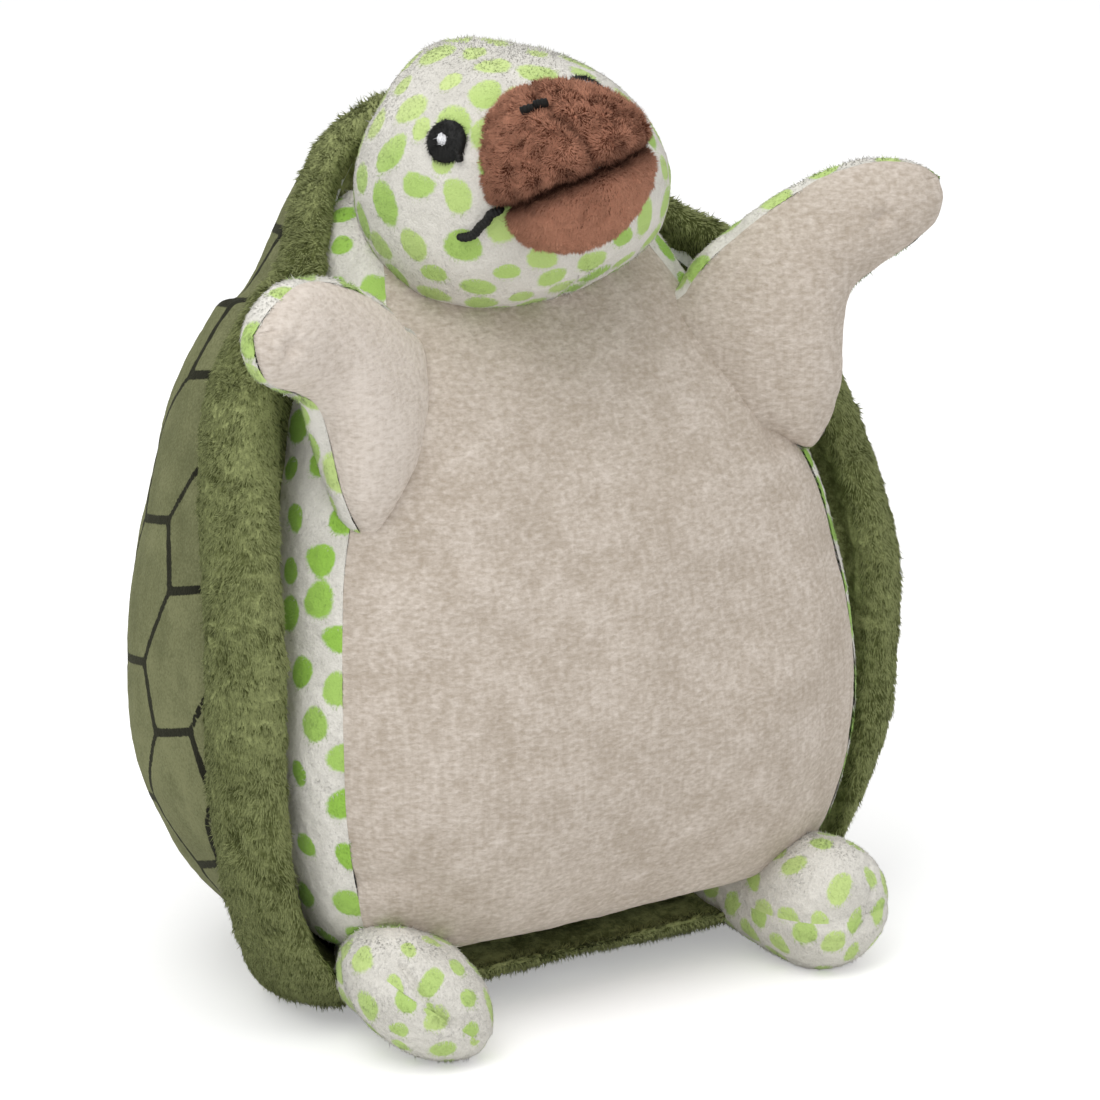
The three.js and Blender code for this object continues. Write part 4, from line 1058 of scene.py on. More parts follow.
def plate_velour(colours):
    """Short velour with a printed honeycomb: a nearly even nap, and ink lines with slightly furry edges."""
    material, tree = new_material("olive short velour, printed")
    nap = noise(tree, 0.5, detail=3)
    patches = noise(tree, 9)
    depth = total(tree, (nap, 0.7), (patches, 0.5), (attribute(tree, "pile"), 0.3))
    shade = ramp_between(tree, depth, 0.5, 1.0)
    cloth = mix(tree, shade, tuple(colours.plate_root), tuple(colours.plate_tip))
    edge = total(tree, (attribute(tree, "ink"), 1.0), (noise(tree, 0.6), 0.14))
    ink = ramp_between(tree, edge, 0.78, 0.86)
    colour = mix(tree, ink, cloth, tuple(colours.ink))
    finish_cloth(tree, colour, nap, 0.35, 0.2, tuple(colours.plate_tip))
    return material


def cream_velour(colours):
    """Short velour over a knitted ground: its nap breaks into fine level dashes, with faint upright streaks.
    Where the brushed layer is high the colour is painted paler: a painted sheen of the nap, set stronger on
    one palm than on the other."""
    material, tree = new_material("cream short velour")
    dashes = noise(tree, 0.7, stretch=(0.5, 0.5, 1.1))
    streaks = noise(tree, 0.9, stretch=(1, 1, 0.12), detail=3)
    patches = noise(tree, 16)
    depth = total(tree, (dashes, 0.65), (streaks, 0.3), (patches, 0.05), (attribute(tree, "pile"), 0.2),
                  (attribute(tree, "brushed"), 0.2))
    shade = ramp_between(tree, depth, 0.35, 1.0)
    colour = mix(tree, shade, tuple(colours.cream_root), tuple(colours.cream_tip))
    height = total(tree, (dashes, 0.8), (streaks, 0.3))
    finish_cloth(tree, colour, height, 0.45, 0.35, tuple(colours.cream_tip))
    return material


def spotted_velour(colours):
    """White velour with printed green spots, whose edges are furred by the pile."""
    material, tree = new_material("white velour, printed spots")
    nap = noise(tree, 0.45, detail=3)
    fuzz = noise(tree, 0.9)
    patches = noise(tree, 11)
    depth = total(tree, (nap, 0.4), (patches, 0.3), (attribute(tree, "pile"), 0.5))
    shade = ramp_between(tree, depth, 0.25, 0.8)
    white = mix(tree, shade, tuple(colours.white_root), tuple(colours.white_tip))
    green = mix(tree, attribute(tree, "tone"), tuple(colours.spot_pale), tuple(colours.spot_deep))
    edge = total(tree, (attribute(tree, "spot"), 1.0), (fuzz, 0.22), (nap, 0.1))
    spot = ramp_between(tree, edge, 0.09, 0.32)
    colour = mix(tree, spot, white, green)
    finish_cloth(tree, colour, total(tree, (nap, 0.6), (fuzz, 0.4)), 0.4, 0.25, tuple(colours.white_tip))
    return material


def brown_fleece(colours):
    """Brushed fleece: curled tufts about 1.5 mm wide, with painted shade in the gaps between them."""
    material, tree = new_material("brown brushed fleece")
    curls = noise(tree, 1.2, detail=3)
    hairs = noise(tree, 0.3, detail=3)
    depth = total(tree, (attribute(tree, "pile"), 1.0), (curls, 0.8), (hairs, 0.4))
    shade = ramp_between(tree, depth, 0.85, 1.35)
    cloth = mix(tree, shade, tuple(colours.brown_root), tuple(colours.brown_tip))
    # The crease layer mixes in painted shade deep in the mouth's crease and on the ridge
    colour = mix(tree, attribute(tree, "crease"), cloth, tuple(colours.brown_crease_shade))
    finish_cloth(tree, colour, total(tree, (curls, 0.6), (hairs, 0.4)), 0.7, 0.2, tuple(colours.brown_tip))
    return material


def thread(name, colour, light):
    """Rayon embroidery thread in satin stitch: smooth, with a soft shine along each stitch."""
    material, tree = new_material(name)
    stitches = noise(tree, 0.35, stretch=(1, 1, 0.2))
    shade = ramp_between(tree, stitches, 0.3, 0.7)
    # Paler streaks along each stitch: painted shine of the thread
    tinted = mix(tree, shade, tuple(colour), tuple(light))
    bump = add(tree, "ShaderNodeBump", {"Height": stitches, "Distance": 0.15 * MM, "Strength": 0.5})
    shader = add(tree, "ShaderNodeBsdfPrincipled", {
        "Base Color": tinted, "Roughness": 0.6, "Specular IOR Level": 0.25, "Normal": bump.outputs[0],
    })
    add(tree, "ShaderNodeOutputMaterial", {"Surface": shader.outputs[0]})
    return material


def calico(colours):
    """Unbleached plain-weave cotton: threads 0.4 mm apart that cross over and under."""
    material, tree = new_material("plain-weave calico")
    warp = noise(tree, 0.4, stretch=(1, 1, 0.1))
    weft = noise(tree, 0.4, stretch=(0.1, 0.1, 1))
    weave = total(tree, (warp, 0.5), (weft, 0.5))
    colour = mix(tree, ramp_between(tree, weave, 0.35, 0.65), linear("#cfc5b0"), linear("#ece5d6"))
    finish_cloth(tree, colour, weave, 0.15, 0.05, linear("#ece5d6"))
    return material


def fibre_stuffing(colours):
    """Loose hollow polyester fibre: white, matted in soft wisps a few millimetres wide."""
    material, tree = new_material("polyester fibre stuffing")
    wisps = noise(tree, 2.5, detail=4)
    colour = mix(tree, ramp_between(tree, wisps, 0.3, 0.7), linear("#cfd0cc"), linear("#f2f2ef"))
    finish_cloth(tree, colour, wisps, 1.0, 0.2, linear("#f2f2ef"))
    return material


def polyethylene_pellets(colours):
    """Polyethylene pellets about 3 mm across: milky, with a dull plastic shine."""
    material, tree = new_material("polyethylene pellets")
    coordinates = add(tree, "ShaderNodeTexCoord").outputs["Object"]
    cells = add(tree, "ShaderNodeTexVoronoi", {"Vector": coordinates, "Scale": 1 / (3 * MM)})
    near = cells.outputs["Distance"]
    # Darker towards each pellet's edge: painted shade between the pellets
    colour = mix(tree, ramp_between(tree, near, 0.2, 0.8), linear("#e4e4e0"), linear("#9c9c98"))
    bump = add(tree, "ShaderNodeBump", {"Height": near, "Distance": 1.2 * MM, "Strength": 0.8}, invert=True)
    shader = add(tree, "ShaderNodeBsdfPrincipled", {
        "Base Color": colour, "Roughness": 0.45, "IOR": 1.5, "Normal": bump.outputs[0],
    })
    add(tree, "ShaderNodeOutputMaterial", {"Surface": shader.outputs[0]})
    return material


def black_thread(colours):
    return thread("black rayon thread", colours.thread, linear("#181816"))


def white_thread(colours):
    return thread("white rayon thread", linear("#d9dade"), linear("#f2f3f4"))


# Each finish: its slot in the record and how it is made. Thread has no slot.
FINISHES = {
    "olive": ("olive_velour", olive_plush),
    "plates": ("olive_print", plate_velour),
    "cream": ("cream_velour", cream_velour),
    "spotted": ("spotted_velour", spotted_velour),
    "fleece": ("brown_fleece", brown_fleece),
    "calico": ("calico", calico),
    "stuffing": ("stuffing", fibre_stuffing),
    "pellets": ("pellets", polyethylene_pellets),
    "black": (None, black_thread),
    "white": (None, white_thread),
}
_made = {}


def finish(piece, kind):
    """Gives a piece its finish, which is made once and shared."""
    slot, make = FINISHES[kind]
    if kind not in _made:
        _made[kind] = make(bpy.context.scene.turtle_colours)
    piece.data.materials.append(_made[kind])


# Stage
CAMERA_TURN = radians(-33)
CAMERA_RISE = radians(16)
CAMERA_DISTANCE = 900
CAMERA_FOCAL_PIXELS = 4797
PHOTO_PIXELS = 1100
CAMERA_RIGHT = 3.565
CAMERA_UP = 76.21
CONTACT_FRONT = -9
LAMP_MIDDLE = np.array([0, 0, 0.08])
FLOOR_HALF = 3000


def sphere_way(turn, rise):
    """The unit direction of a turn and a rise. Turn 0 is in front of the turtle."""
    return np.array([sin(turn) * cos(rise), -cos(turn) * cos(rise), sin(rise)])


def make_camera():
    """Looks at a point worked out from the contact line, along the photograph's turn and rise."""
    right = np.array([cos(CAMERA_TURN), sin(CAMERA_TURN), 0])
    away = sphere_way(CAMERA_TURN, CAMERA_RISE)
    up = np.cross(away, right)
    target = np.array([0, CONTACT_FRONT, 0]) + CAMERA_RIGHT * right + CAMERA_UP * up
    place = (target + CAMERA_DISTANCE * away) * MM
    data = bpy.data.cameras.new("camera")
    data.sensor_width = 36
    data.lens = CAMERA_FOCAL_PIXELS / PHOTO_PIXELS * data.sensor_width
    data.clip_start = 0.01
    camera = bpy.data.objects.new("camera", data)
    columns = np.eye(4)
    columns[:3, 0], columns[:3, 1], columns[:3, 2], columns[:3, 3] = right, up, away, place
    camera.matrix_world = Matrix(columns.tolist())
    bpy.context.scene.collection.objects.link(camera)
    bpy.context.scene.camera = camera


def seen_directly(tree):
    """1 on camera, mirror and clear-glass rays, which see the white background, and 0 on light."""
    path = add(tree, "ShaderNodeLightPath")
    first = add(tree, "ShaderNodeMath", {
        0: path.outputs["Is Camera Ray"], 1: path.outputs["Is Glossy Ray"],
    }, operation="ADD")
    return add(tree, "ShaderNodeMath", {
        0: first.outputs[0], 1: path.outputs["Is Transmission Ray"],
    }, operation="ADD", use_clamp=True).outputs[0]


def make_world():
    world = bpy.data.worlds.new("white studio")
    world.use_nodes = True
    tree = world.node_tree
    tree.nodes.clear()
    light = add(tree, "ShaderNodeBackground", {"Color": (1, 1, 1, 1), "Strength": 0.62})
    seen = add(tree, "ShaderNodeBackground", {"Color": (1, 1, 1, 1), "Strength": 1.0})
    both = add(tree, "ShaderNodeMixShader", {0: seen_directly(tree), 1: light.outputs[0], 2: seen.outputs[0]})
    add(tree, "ShaderNodeOutputWorld", {"Surface": both.outputs[0]})
    bpy.context.scene.world = world


def make_floor():
    """A white paper sweep: matt, with a glow for the camera that leaves only the soft contact shadow."""
    material, tree = new_material("white paper")
    grain = noise(tree, 0.8)
    tint = mix(tree, grain, linear("#f4f4f4"), linear("#f8f8f8"))
    paper = add(tree, "ShaderNodeBsdfDiffuse", {"Color": tint})
    glow = add(tree, "ShaderNodeEmission", {"Color": (1, 1, 1, 1), "Strength": 0.33})
    seen = add(tree, "ShaderNodeMixShader", {0: seen_directly(tree), 2: glow.outputs[0]})
    both = add(tree, "ShaderNodeAddShader", {0: paper.outputs[0], 1: seen.outputs[0]})
    add(tree, "ShaderNodeOutputMaterial", {"Surface": both.outputs[0]})
    half = np.array([-FLOOR_HALF, FLOOR_HALF])
    corners = stack(half[None, :], half[:, None], 0)
    floor = grid_mesh("floor", corners)
    floor.data.materials.append(material)


def make_lamp(name, turn, rise, distance, size, power):
    """A square soft light on the sphere round the turtle's middle, facing it."""
    away = sphere_way(turn, rise)
    right = np.array([cos(turn), sin(turn), 0])
    data = bpy.data.lights.new(name, "AREA")
    data.size = size
    data.energy = power
    lamp = bpy.data.objects.new(name, data)
    facing = np.column_stack([right, np.cross(away, right), away])
    lamp.matrix_world = Matrix.Translation(LAMP_MIDDLE + away * distance) @ Matrix(facing.tolist()).to_4x4()
    bpy.context.scene.collection.objects.link(lamp)


def make_stage():
    make_camera()
    make_world()
    make_floor()
    make_lamp("key", radians(-62), radians(52), 1.1, 0.7, 3.8)
    make_lamp("fill", radians(-8), radians(16), 1.3, 1.0, 1.6)
    make_lamp("top", radians(-33), radians(80), 1.1, 1.0, 3.6)


# Shell
def outline_grid(columns, shares):
    return np.meshgrid(opening_turns(columns), shares)


def evenly_along(form, turn, low, count):
    """Shares up to 1 that cut a form's section at a turn into pieces of equal length."""
    return even_places(lambda share: form(np.full_like(share, turn), share), low, 1, count)


def rim_core(turn):
    """The middle of the roll's section."""
    middle = rim_point(turn, np.full_like(turn, 0.0)) + rim_point(turn, np.full_like(turn, CORE_PLACE))
    return middle / 2


def make_shell(sizes):
    rows, columns = GRIDS["rim"]
    turn, share = outline_grid(columns, evenly_along(rim_point, RIM_SECTION_TURN, ROLL_PLACES[0], rows))
    points = rim_point(turn, share)
    core = rim_core(turn)
    pull = seam_pull(points, 0, *SEAMS["rim"], first=False) - SINK["rim"]
    rim = sew("rim_cover", points, core, "torso", "olive", "shell_rim_cover", "rim", pull, wrap=True,
              fill=0.8)
    height = points[..., 2]
    shown = (share > RIM_PILE_START) | ((share > RIM_PILE_HEM) & (height > RIM_PILE_HEM_HEIGHT))
    shown &= height > RIM_PILE_FOOT
    for name, side in SIDES:
        half = shown & (np.sign(points[..., 0]) == side)
        pile_fibres(f"rim_pile_{name}", rim, core, "torso", "olive", sizes.rim_pile / MM,
                    SEEDS["rim_pile"] + side, keep=half, wrap=True, **FIBRES["rim"])

    rows, columns = GRIDS["dome"]
    turn, share = outline_grid(columns, evenly_along(dome_point, DOME_SECTION_TURN, 0, rows))
    points = dome_point(turn, share)
    pull = seam_pull(points, 0, *SEAMS["dome"], last=False)
    ink = plate_lines(points, sizes)
    hem = points[:1] + HEM_SHARE * (rim_core(turn)[:1] - points[:1])
    points, pull, ink = (np.concatenate([first, rest]) for first, rest in
                         ((hem, points), (pull[:1], pull), (ink[:1], ink)))
    sew("carapace_cover", points, np.array([0, 0, DOME_MIDDLE]), "torso", "plates", "carapace_panel", "dome",
        pull, {"ink": ink}, wrap=True, high_pole=True, fill=0.8)

    make_shell_inside()


def plate_lines(points, sizes):
    """A regular honeycomb with level edges, laid on the dome by its angle round an upright axis and by its
    height. Its columns draw together upwards, and its rows curve up towards the seam by the square of the
    distance. The layer is 1 in the middle of a line and falls to 0.75 at its edge."""
    plate = sizes.plate_width / MM
    across = PLATE_RADIUS * np.arctan2(points[..., 0], points[..., 1] - PLATE_AXIS)
    across = across * (1 - PLATE_NARROW * (points[..., 2] - PLATE_MIDDLE))
    up = points[..., 2] - PLATE_MIDDLE - PLATE_RISE * across**2
    cell = np.array([plate * 3**0.5, plate])
    at = np.stack([across, up], axis=-1)
    first = (at + cell / 2) % cell - cell / 2
    second = at % cell - cell / 2
    nearer = (np.sum(first**2, axis=-1) < np.sum(second**2, axis=-1))[..., None]
    inside = np.abs(np.where(nearer, first, second))
    reach = np.maximum(inside[..., 1], inside[..., 0] * 3**0.5 / 2 + inside[..., 1] / 2)
    from_line = plate / 2 - reach
    return 1 - from_line / (sizes.plate_line / MM * 2)


def make_shell_inside():
    """The hidden parts: the roll's stuffing, the lining behind it and the stuffing of the dome."""
    rows, columns = GRIDS["rim_stuffing"]
    turn, share = outline_grid(columns, np.linspace(-0.2, 1, rows))
    core = rim_core(turn)
    points = core + RIM_FILL * (rim_point(turn, share) - core)
    around = np.concatenate([points, points[:1]], axis=0)
    around[..., 2] = np.maximum(around[..., 2], RIM_FILL_LEAST)
    core = np.concatenate([core, core[:1]], axis=0)
    sew("rim_stuffing", around, core, "torso", "stuffing", "shell_rim_fill", "rim_stuffing", wrap=True,
        fill=0.5)

    rows, columns = GRIDS["lining"]
    turn, share = outline_grid(columns, np.linspace(*LINING_SPAN, rows))
    x, z = opening(turn)
    height = OPENING_MIDDLE + (z - OPENING_MIDDLE) * share
    behind = lean(height) - LIP_FORWARD + (ROLL_DEEP + 1) * slimness(height)
    points = stack(x * share, behind, height)
    sew("shell_lining_cloth", points, points + np.array([0, 5, 0]), "torso", "calico", "shell_lining",
        "lining", wrap=True, fill=0.1)

    rows, columns = GRIDS["dome_stuffing"]
    turn, share = outline_grid(columns, np.linspace(1, 0, rows))
    inner = DOME_FILL_MIDDLE + DOME_FILL * (dome_point(turn, share) - DOME_FILL_MIDDLE)
    close = np.stack([
        inner[-1] * [k, 1, k] + np.array([0, 0, DOME_MIDDLE * (1 - k)]) for k in DOME_FILL_CLOSE
    ])
    points = np.concatenate([inner, close])
    for row in (-1, 0):
        points[row] = points[row].mean(axis=0)
    sew("carapace_stuffing", points, DOME_FILL_MIDDLE, "torso", "stuffing", "carapace_fill", "dome_stuffing",
        fill=0.6, **CLOSED)


# Torso
def torso_heights(low, high, count):
    """Heights of the torso's rows, that far in from its bottom and its top."""
    return np.linspace(TORSO_BOTTOM + low, TORSO_BOTTOM + TORSO_HEIGHT - high, count)[:, None]


def full_turns(columns):
    return np.linspace(-pi, pi, columns + 1)[None, :-1]


def make_torso(sizes):
    rows, columns = GRIDS["belly"]
    height = np.broadcast_to(torso_heights(0, 0, rows), (rows, columns))
    seam = smooth_table(TORSO_PLACES, BELLY_SEAM_SHARES)(torso_share(height))
    across = np.linspace(-1, 1, columns)[None, :] * seam
    points = torso_point(np.arcsin(signed_power(across, 1 / TORSO_SQUARE)), height)
    core = stack(0, points[..., 1].mean(axis=1, keepdims=True) + 25, height)
    pull = seam_pull(points, 1, *SEAMS["belly"])
    for path, depth, width in BELLY_FOLDS:
        pull = pull + crease(points, path, depth, width)
    relief = pile_height(points, RELIEF["belly_folds"], SEEDS["belly_folds"])
    pull = pull + relief * (1 - seam_pull(points, 1, *SEAMS["fold"]).clip(0, 1))
    points = points + swell(points, core, SWELL_MOST["belly"])
    sew("belly_cover", points, core, "torso", "cream", "belly_panel", "belly", pull, fill=0.8)

    rows, columns = GRIDS["gusset"]
    for name, side in SIDES:
        height = torso_heights(0.5, 0.5, rows)
        _, front, back = torso_ring(height)
        middle, deep = (front + back) / 2, (back - front) / 2
        plane = lean(height) - LIP_FORWARD + GUSSET_DEEP
        end = np.arccos(signed_power(((middle - plane) / deep).clip(-1, 1), 1 / TORSO_SQUARE))
        start = belly_seam_turn(height)
        end = np.maximum(end, start + 0.15)
        turn = side * (start + (end - start) * np.linspace(0, 1, columns)[None, :])
        full = np.broadcast_to(height, turn.shape)
        points = torso_point(turn, full)
        core = stack(0, np.broadcast_to(middle, turn.shape), full)
        pull = seam_pull(points, 1, *SEAMS["gusset"], last=False)
        spots = printed_spots(points, sizes, "gusset", side)
        cover = sew(f"gusset_cover_{name}", points, core, "torso", "spotted", f"side_gusset_{name}", "gusset",
                    pull, spots, side, fill=0.7)
        spotted_pile(f"gusset_pile_{name}", cover, core, "torso", sizes, "gusset", side, spots)

    make_torso_inside()


def make_torso_inside():
    """The hidden parts: the plain cloth of the torso's back, its stuffing and the pouch of pellets."""
    rows, columns = GRIDS["torso_back"]
    turn = np.linspace(pi - TORSO_CLOTH_HALF_TURN, pi + TORSO_CLOTH_HALF_TURN, columns)[None, :]
    turn, height = np.broadcast_arrays(turn, torso_heights(0.5, 0.5, rows))
    points = torso_point(turn, height) * [TORSO_CLOTH_SHARE, TORSO_CLOTH_SHARE, 1]
    sew("torso_back_cloth", points, points * [0, 0, 1], "torso", "calico", "torso_back_panel", "torso_back",
        fill=0.6)

    rows, columns = GRIDS["torso_stuffing"]
    turn, height = np.broadcast_arrays(full_turns(columns), torso_heights(9, 3, rows))
    points = torso_point(turn, height)
    middle = points.mean(axis=1, keepdims=True)
    points = middle + TORSO_FILL * (points - middle)
    ends = [np.broadcast_to(middle[k], points[:1].shape) for k in (0, -1)]
    points = np.concatenate([ends[0], points, ends[1]])
    sew("torso_stuffing", points, points.mean(axis=1, keepdims=True), "torso", "stuffing", "torso_fill",
        "torso_stuffing", fill=0.6, **CLOSED)

    rows, columns = GRIDS["pouch"]
    for name, kind, node, key, inset in (
        ("pellet_pouch", "calico", "pouch_cover", "pouch", 0),
        ("pellets", "pellets", "pellet_fill", "pellets", PELLET_INSET),
    ):
        rise = np.linspace(-pi / 2, pi / 2, rows)[:, None]
        turn = full_turns(columns)
        wide, deep, high = (radius - inset for radius in POUCH_RADII)
        local = stack(
            wide * np.cos(rise) * np.sin(turn),
            deep * np.cos(rise) * np.cos(turn),
            high * np.sin(rise),
        )
        sew(name, local + POUCH_CENTRE, POUCH_CENTRE, "torso", kind, node, key, fill=0.9, **CLOSED)


# Head
def on_mirror(place, side):
    """A place given for the turtle's right side, or its mirror image on the left about the face's middle."""
    place = np.array(place, float)
    if side > 0:
        place[..., 0] = 2 * FACE_MIDDLE - place[..., 0]
    return place


def clear_of_face(local):
    """1 where the head's cloth is bare, and 0 under the beak and the embroidery."""
    clear = np.linalg.norm((local - BEAK_CENTRE) / (BEAK_RADII - 0.6), axis=-1) > 1
    for _, side in SIDES:
        clear &= np.linalg.norm(local - on_mirror(EYE_PLACE, side), axis=-1) > EYE_HALF - 0.5
        for place in on_mirror(MOUTH_CORNER, side):
            clear &= np.linalg.norm(local - place, axis=-1) > 0.9
    return clear


def ball_stuffing(name, form, centre, node, key, inset):
    """Stuffing in the form of the head or the beak, that far inside its cloth."""
    rows, columns = GRIDS[key]
    points = head_place(form(full_turns(columns), np.linspace(-pi / 2, pi / 2, rows)[:, None], inset))
    sew(name, points, centre, "head", "stuffing", node, key, fill=0.8, **CLOSED)


def make_head(sizes):
    rows, columns = GRIDS["head"]
    rise = np.linspace(-pi / 2, pi / 2, rows)[:, None]
    both = np.stack([head_point(side * np.linspace(0, pi, columns)[None, :], rise) for _, side in SIDES])
    spots = printed_spots(both, sizes, "head", fade=HEAD_FADE * smooth_step(both[..., 2], *HEAD_FADE_SPAN))
    for local, tone, spot, (name, side) in zip(both, spots["tone"], spots["spot"], SIDES):
        pull = seam_pull(local, 1, *SEAMS["head"]) - SINK["head"]
        layers = {"spot": spot, "tone": tone}
        cover = sew(f"head_cloth_{name}", head_place(local), HEAD_CENTRE, "head", "spotted",
                    f"head_cover_{name}", "head", pull, layers, low_pole=True, high_pole=True, fill=0.9)
        spotted_pile(f"head_pile_{name}", cover, HEAD_CENTRE, "head", sizes, "head", side, layers,
                     clear_of_face(local))
    ball_stuffing("head_stuffing", head_point, HEAD_CENTRE, "head_fill", "head_stuffing",
                  STUFFING_INSET["head"])

    rows, columns = GRIDS["neck"]
    turn = full_turns(columns)
    half = rows // 2
    angle = np.concatenate([
        np.linspace(0, NECK_HALF_ANGLE, half), np.linspace(NECK_HALF_ANGLE, 0, half),
    ])[:, None]
    radius = np.repeat([NECK_OUTER, NECK_INNER], half)[:, None]
    points = HEAD_CENTRE + stack(
        radius * np.sin(angle) * np.sin(turn), radius * np.sin(angle) * np.cos(turn), -radius * np.cos(angle),
    )
    sew("neck_stuffing", points, HEAD_CENTRE + [0, 0, -32], "neck", "stuffing", "neck_fill", "neck", fill=0.8,
        **CLOSED)


def outside_head(local):
    """1 where the beak's cloth stands clear of the head, and 0 where the head hides it."""
    up = np.where(local[..., 2] > 0, HEAD_UP, HEAD_DOWN)
    radii = stack(HEAD_HALF_WIDTH, HEAD_HALF_DEEP, up)
    return np.linalg.norm(local / radii, axis=-1) > 0.95


def bell(length, width):
    return np.exp(-((length / width) ** 2))


def make_beak(sizes):
    """Two upper panels that meet in a ridge down the middle, and a lower one, with a deep crease between."""
    centre = head_place(BEAK_CENTRE)
    pile = sizes.beak_pile / MM
    rows, columns = GRIDS["beak_top"]
    share = np.linspace(0, 1, rows)[:, None]
    ridge = BEAK_RIDGE_LEAN * (smooth_step(share, *BEAK_RIDGE_SPAN) - BEAK_RIDGE_SHIFT)
    for name, side in SIDES:
        turn = ridge + side * np.linspace(0, BEAK_BACK, columns)[None, :]
        mouth = mouth_rise(turn)
        local = beak_point(turn, mouth + (pi / 2 - mouth) * share)
        pull = seam_pull(local, 1, *SEAMS["ridge"], last=False) * (1 - share**2)
        pull = pull + seam_pull(local, 0, *SEAMS["mouth"], last=False) - SINK["beak"]
        # Crease layer: painted shade deep in the mouth's crease and in the valley of the ridge
        dark = bell(lengths_along(local, 0), MOUTH_SHADE)
        dark = np.maximum(dark, RIDGE_SHADE_SHARE * bell(lengths_along(local, 1), RIDGE_SHADE))
        cover = sew(f"beak_top_cloth_{name}", head_place(local), centre, "head", "fleece",
                    f"beak_upper_{name}", "beak_top", pull, {"crease": dark}, high_pole=True, fill=0.9)
        # The left side's tips are toned darker and the right side's lighter: painted shade and painted light
        foot_tone, tip_tone, change = BEAK_TONES
        pile_fibres(f"beak_pile_{name}", cover, centre, "head", "fleece", pile, SEEDS["beak_pile"] + side,
                    tones=(foot_tone, tip_tone - BEAK_SIDE_SHADE * side, change), layers={"crease": dark},
                    keep=outside_head(local), **FIBRES["beak_top"])

    rows, columns = GRIDS["beak_low"]
    turn = np.linspace(-BEAK_BACK, BEAK_BACK, columns)[None, :]
    rise = -pi / 2 + (mouth_rise(turn) + pi / 2) * np.linspace(0, 1, rows)[:, None]
    local = beak_point(turn, rise, 0.5)
    pull = seam_pull(local, 0, *SEAMS["mouth_low"], first=False) - SINK["beak"]
    whole = lengths_along(local, 0)
    # Crease layer: painted shade deep in the mouth's crease
    dark = bell(whole[-1:] - whole, MOUTH_LOW_SHADE)
    cover = sew("beak_low_cloth", head_place(local), centre, "head", "fleece", "beak_lower", "beak_low", pull,
                {"crease": dark}, low_pole=True, fill=0.9)
    pile_fibres("beak_pile_low", cover, centre, "head", "fleece", pile, SEEDS["beak_low_pile"],
                layers={"crease": dark}, keep=outside_head(local), **FIBRES["beak_low"])
    ball_stuffing("beak_stuffing", beak_point, centre, "beak_fill", "beak_stuffing", STUFFING_INSET["beak"])


# Limbs
def limb_panel(form, side, shares, low, high, columns):
    """A panel of a limb between two turns, drawn to a point at its tip."""
    full, turn = np.broadcast_arrays(shares, np.linspace(low, high, columns)[None, :])
    points = form(side, turn, full)
    points[-1] = points[-1].mean(axis=0)
    return points, full[..., None]


def limb_stuffing(limb, form, name, side, shares):
    """The stuffing of a limb, closed at both ends."""
    full, turn = np.broadcast_arrays(shares, full_turns(LIMB_COLUMNS))
    points = form(side, turn, full, STUFFING_INSET["limb"])
    points = np.concatenate([points, points[-1:].mean(axis=1, keepdims=True).repeat(LIMB_COLUMNS, axis=1)])
    points[0] = points[0].mean(axis=0)
    sew(f"{limb}_stuffing_{name}", points, points.mean(axis=1, keepdims=True), f"{limb}_{name}", "stuffing",
        f"{limb}_fill_{name}", f"{limb}_stuffing", fill=0.5, **CLOSED)


def make_flippers(sizes):
    rows, columns = GRIDS["flipper"]
    for name, side in SIDES:
        origin, along, _, _, length = flipper_frame(side)
        shares = np.linspace(-FLIPPER_THICK / length, FLIPPER_END, rows)[:, None]
        body = f"flipper_{name}"

        points, full = limb_panel(flipper_point, side, shares, FLIPPER_SEAM, pi, columns)
        core = origin + full * length * along
        pull = seam_pull(points, 1, *SEAMS["limb"]) + pulled_stitch(points, PALM_STITCHES[name], *PALM_DIMPLE)
        points = points + swell(points, core, SWELL_MOST["palm"])
        # One palm is painted paler than the other: painted sheen of the nap
        sew(f"flipper_palm_cover_{name}", points, core, body, "cream", f"flipper_palm_{name}", "palm", pull,
            {"brushed": PALM_PAINTED_SHEEN[name]}, side, high_pole=True, fill=0.6)

        points, full = limb_panel(flipper_point, side, shares, pi, 2 * pi + FLIPPER_SEAM, columns)
        core = origin + full * length * along
        layers = printed_spots(points, sizes, "flipper", side)
        pull = seam_pull(points, 1, *SEAMS["limb"])
        cover = sew(f"flipper_back_cover_{name}", points, core, body, "spotted", f"flipper_back_{name}",
                    "back", pull, layers, side, high_pole=True, fill=0.6)
        spotted_pile(f"flipper_pile_{name}", cover, core, body, sizes, "flipper", side, layers)
        limb_stuffing("flipper", flipper_point, name, side, shares[2:-4:3])


def make_feet(sizes):
    rows, columns = GRIDS["foot"]
    shares = np.linspace(-FOOT_BASE / FOOT_LENGTH, 1, rows)[:, None]
    for name, side in SIDES:
        origin, along, _ = foot_frame(side)
        for part, low, high in (("top", 0, pi), ("sole", pi, 2 * pi)):
            points, full = limb_panel(foot_point, side, shares, low, high, columns)
            core = origin + full * FOOT_LENGTH * along
            pull = seam_pull(points, 1, *SEAMS["limb"])
            for depth, width in TOE_PULLS:
                pull = pull + crease(points, TOE_CREASES[name], depth, width)
            points = points + swell(points, core, SWELL_MOST["foot"])
            layers = printed_spots(points, sizes, "foot", side)
            cover = sew(f"foot_{part}_cover_{name}", points, core, f"foot_{name}", "spotted",
                        f"foot_{part}_{name}", "foot", pull, layers, side, high_pole=True, fill=0.7)
            spotted_pile(f"foot_{part}_pile_{name}", cover, core, f"foot_{name}", sizes, "foot", side, layers)
        limb_stuffing("foot", foot_point, name, side, shares[4:-4:3])


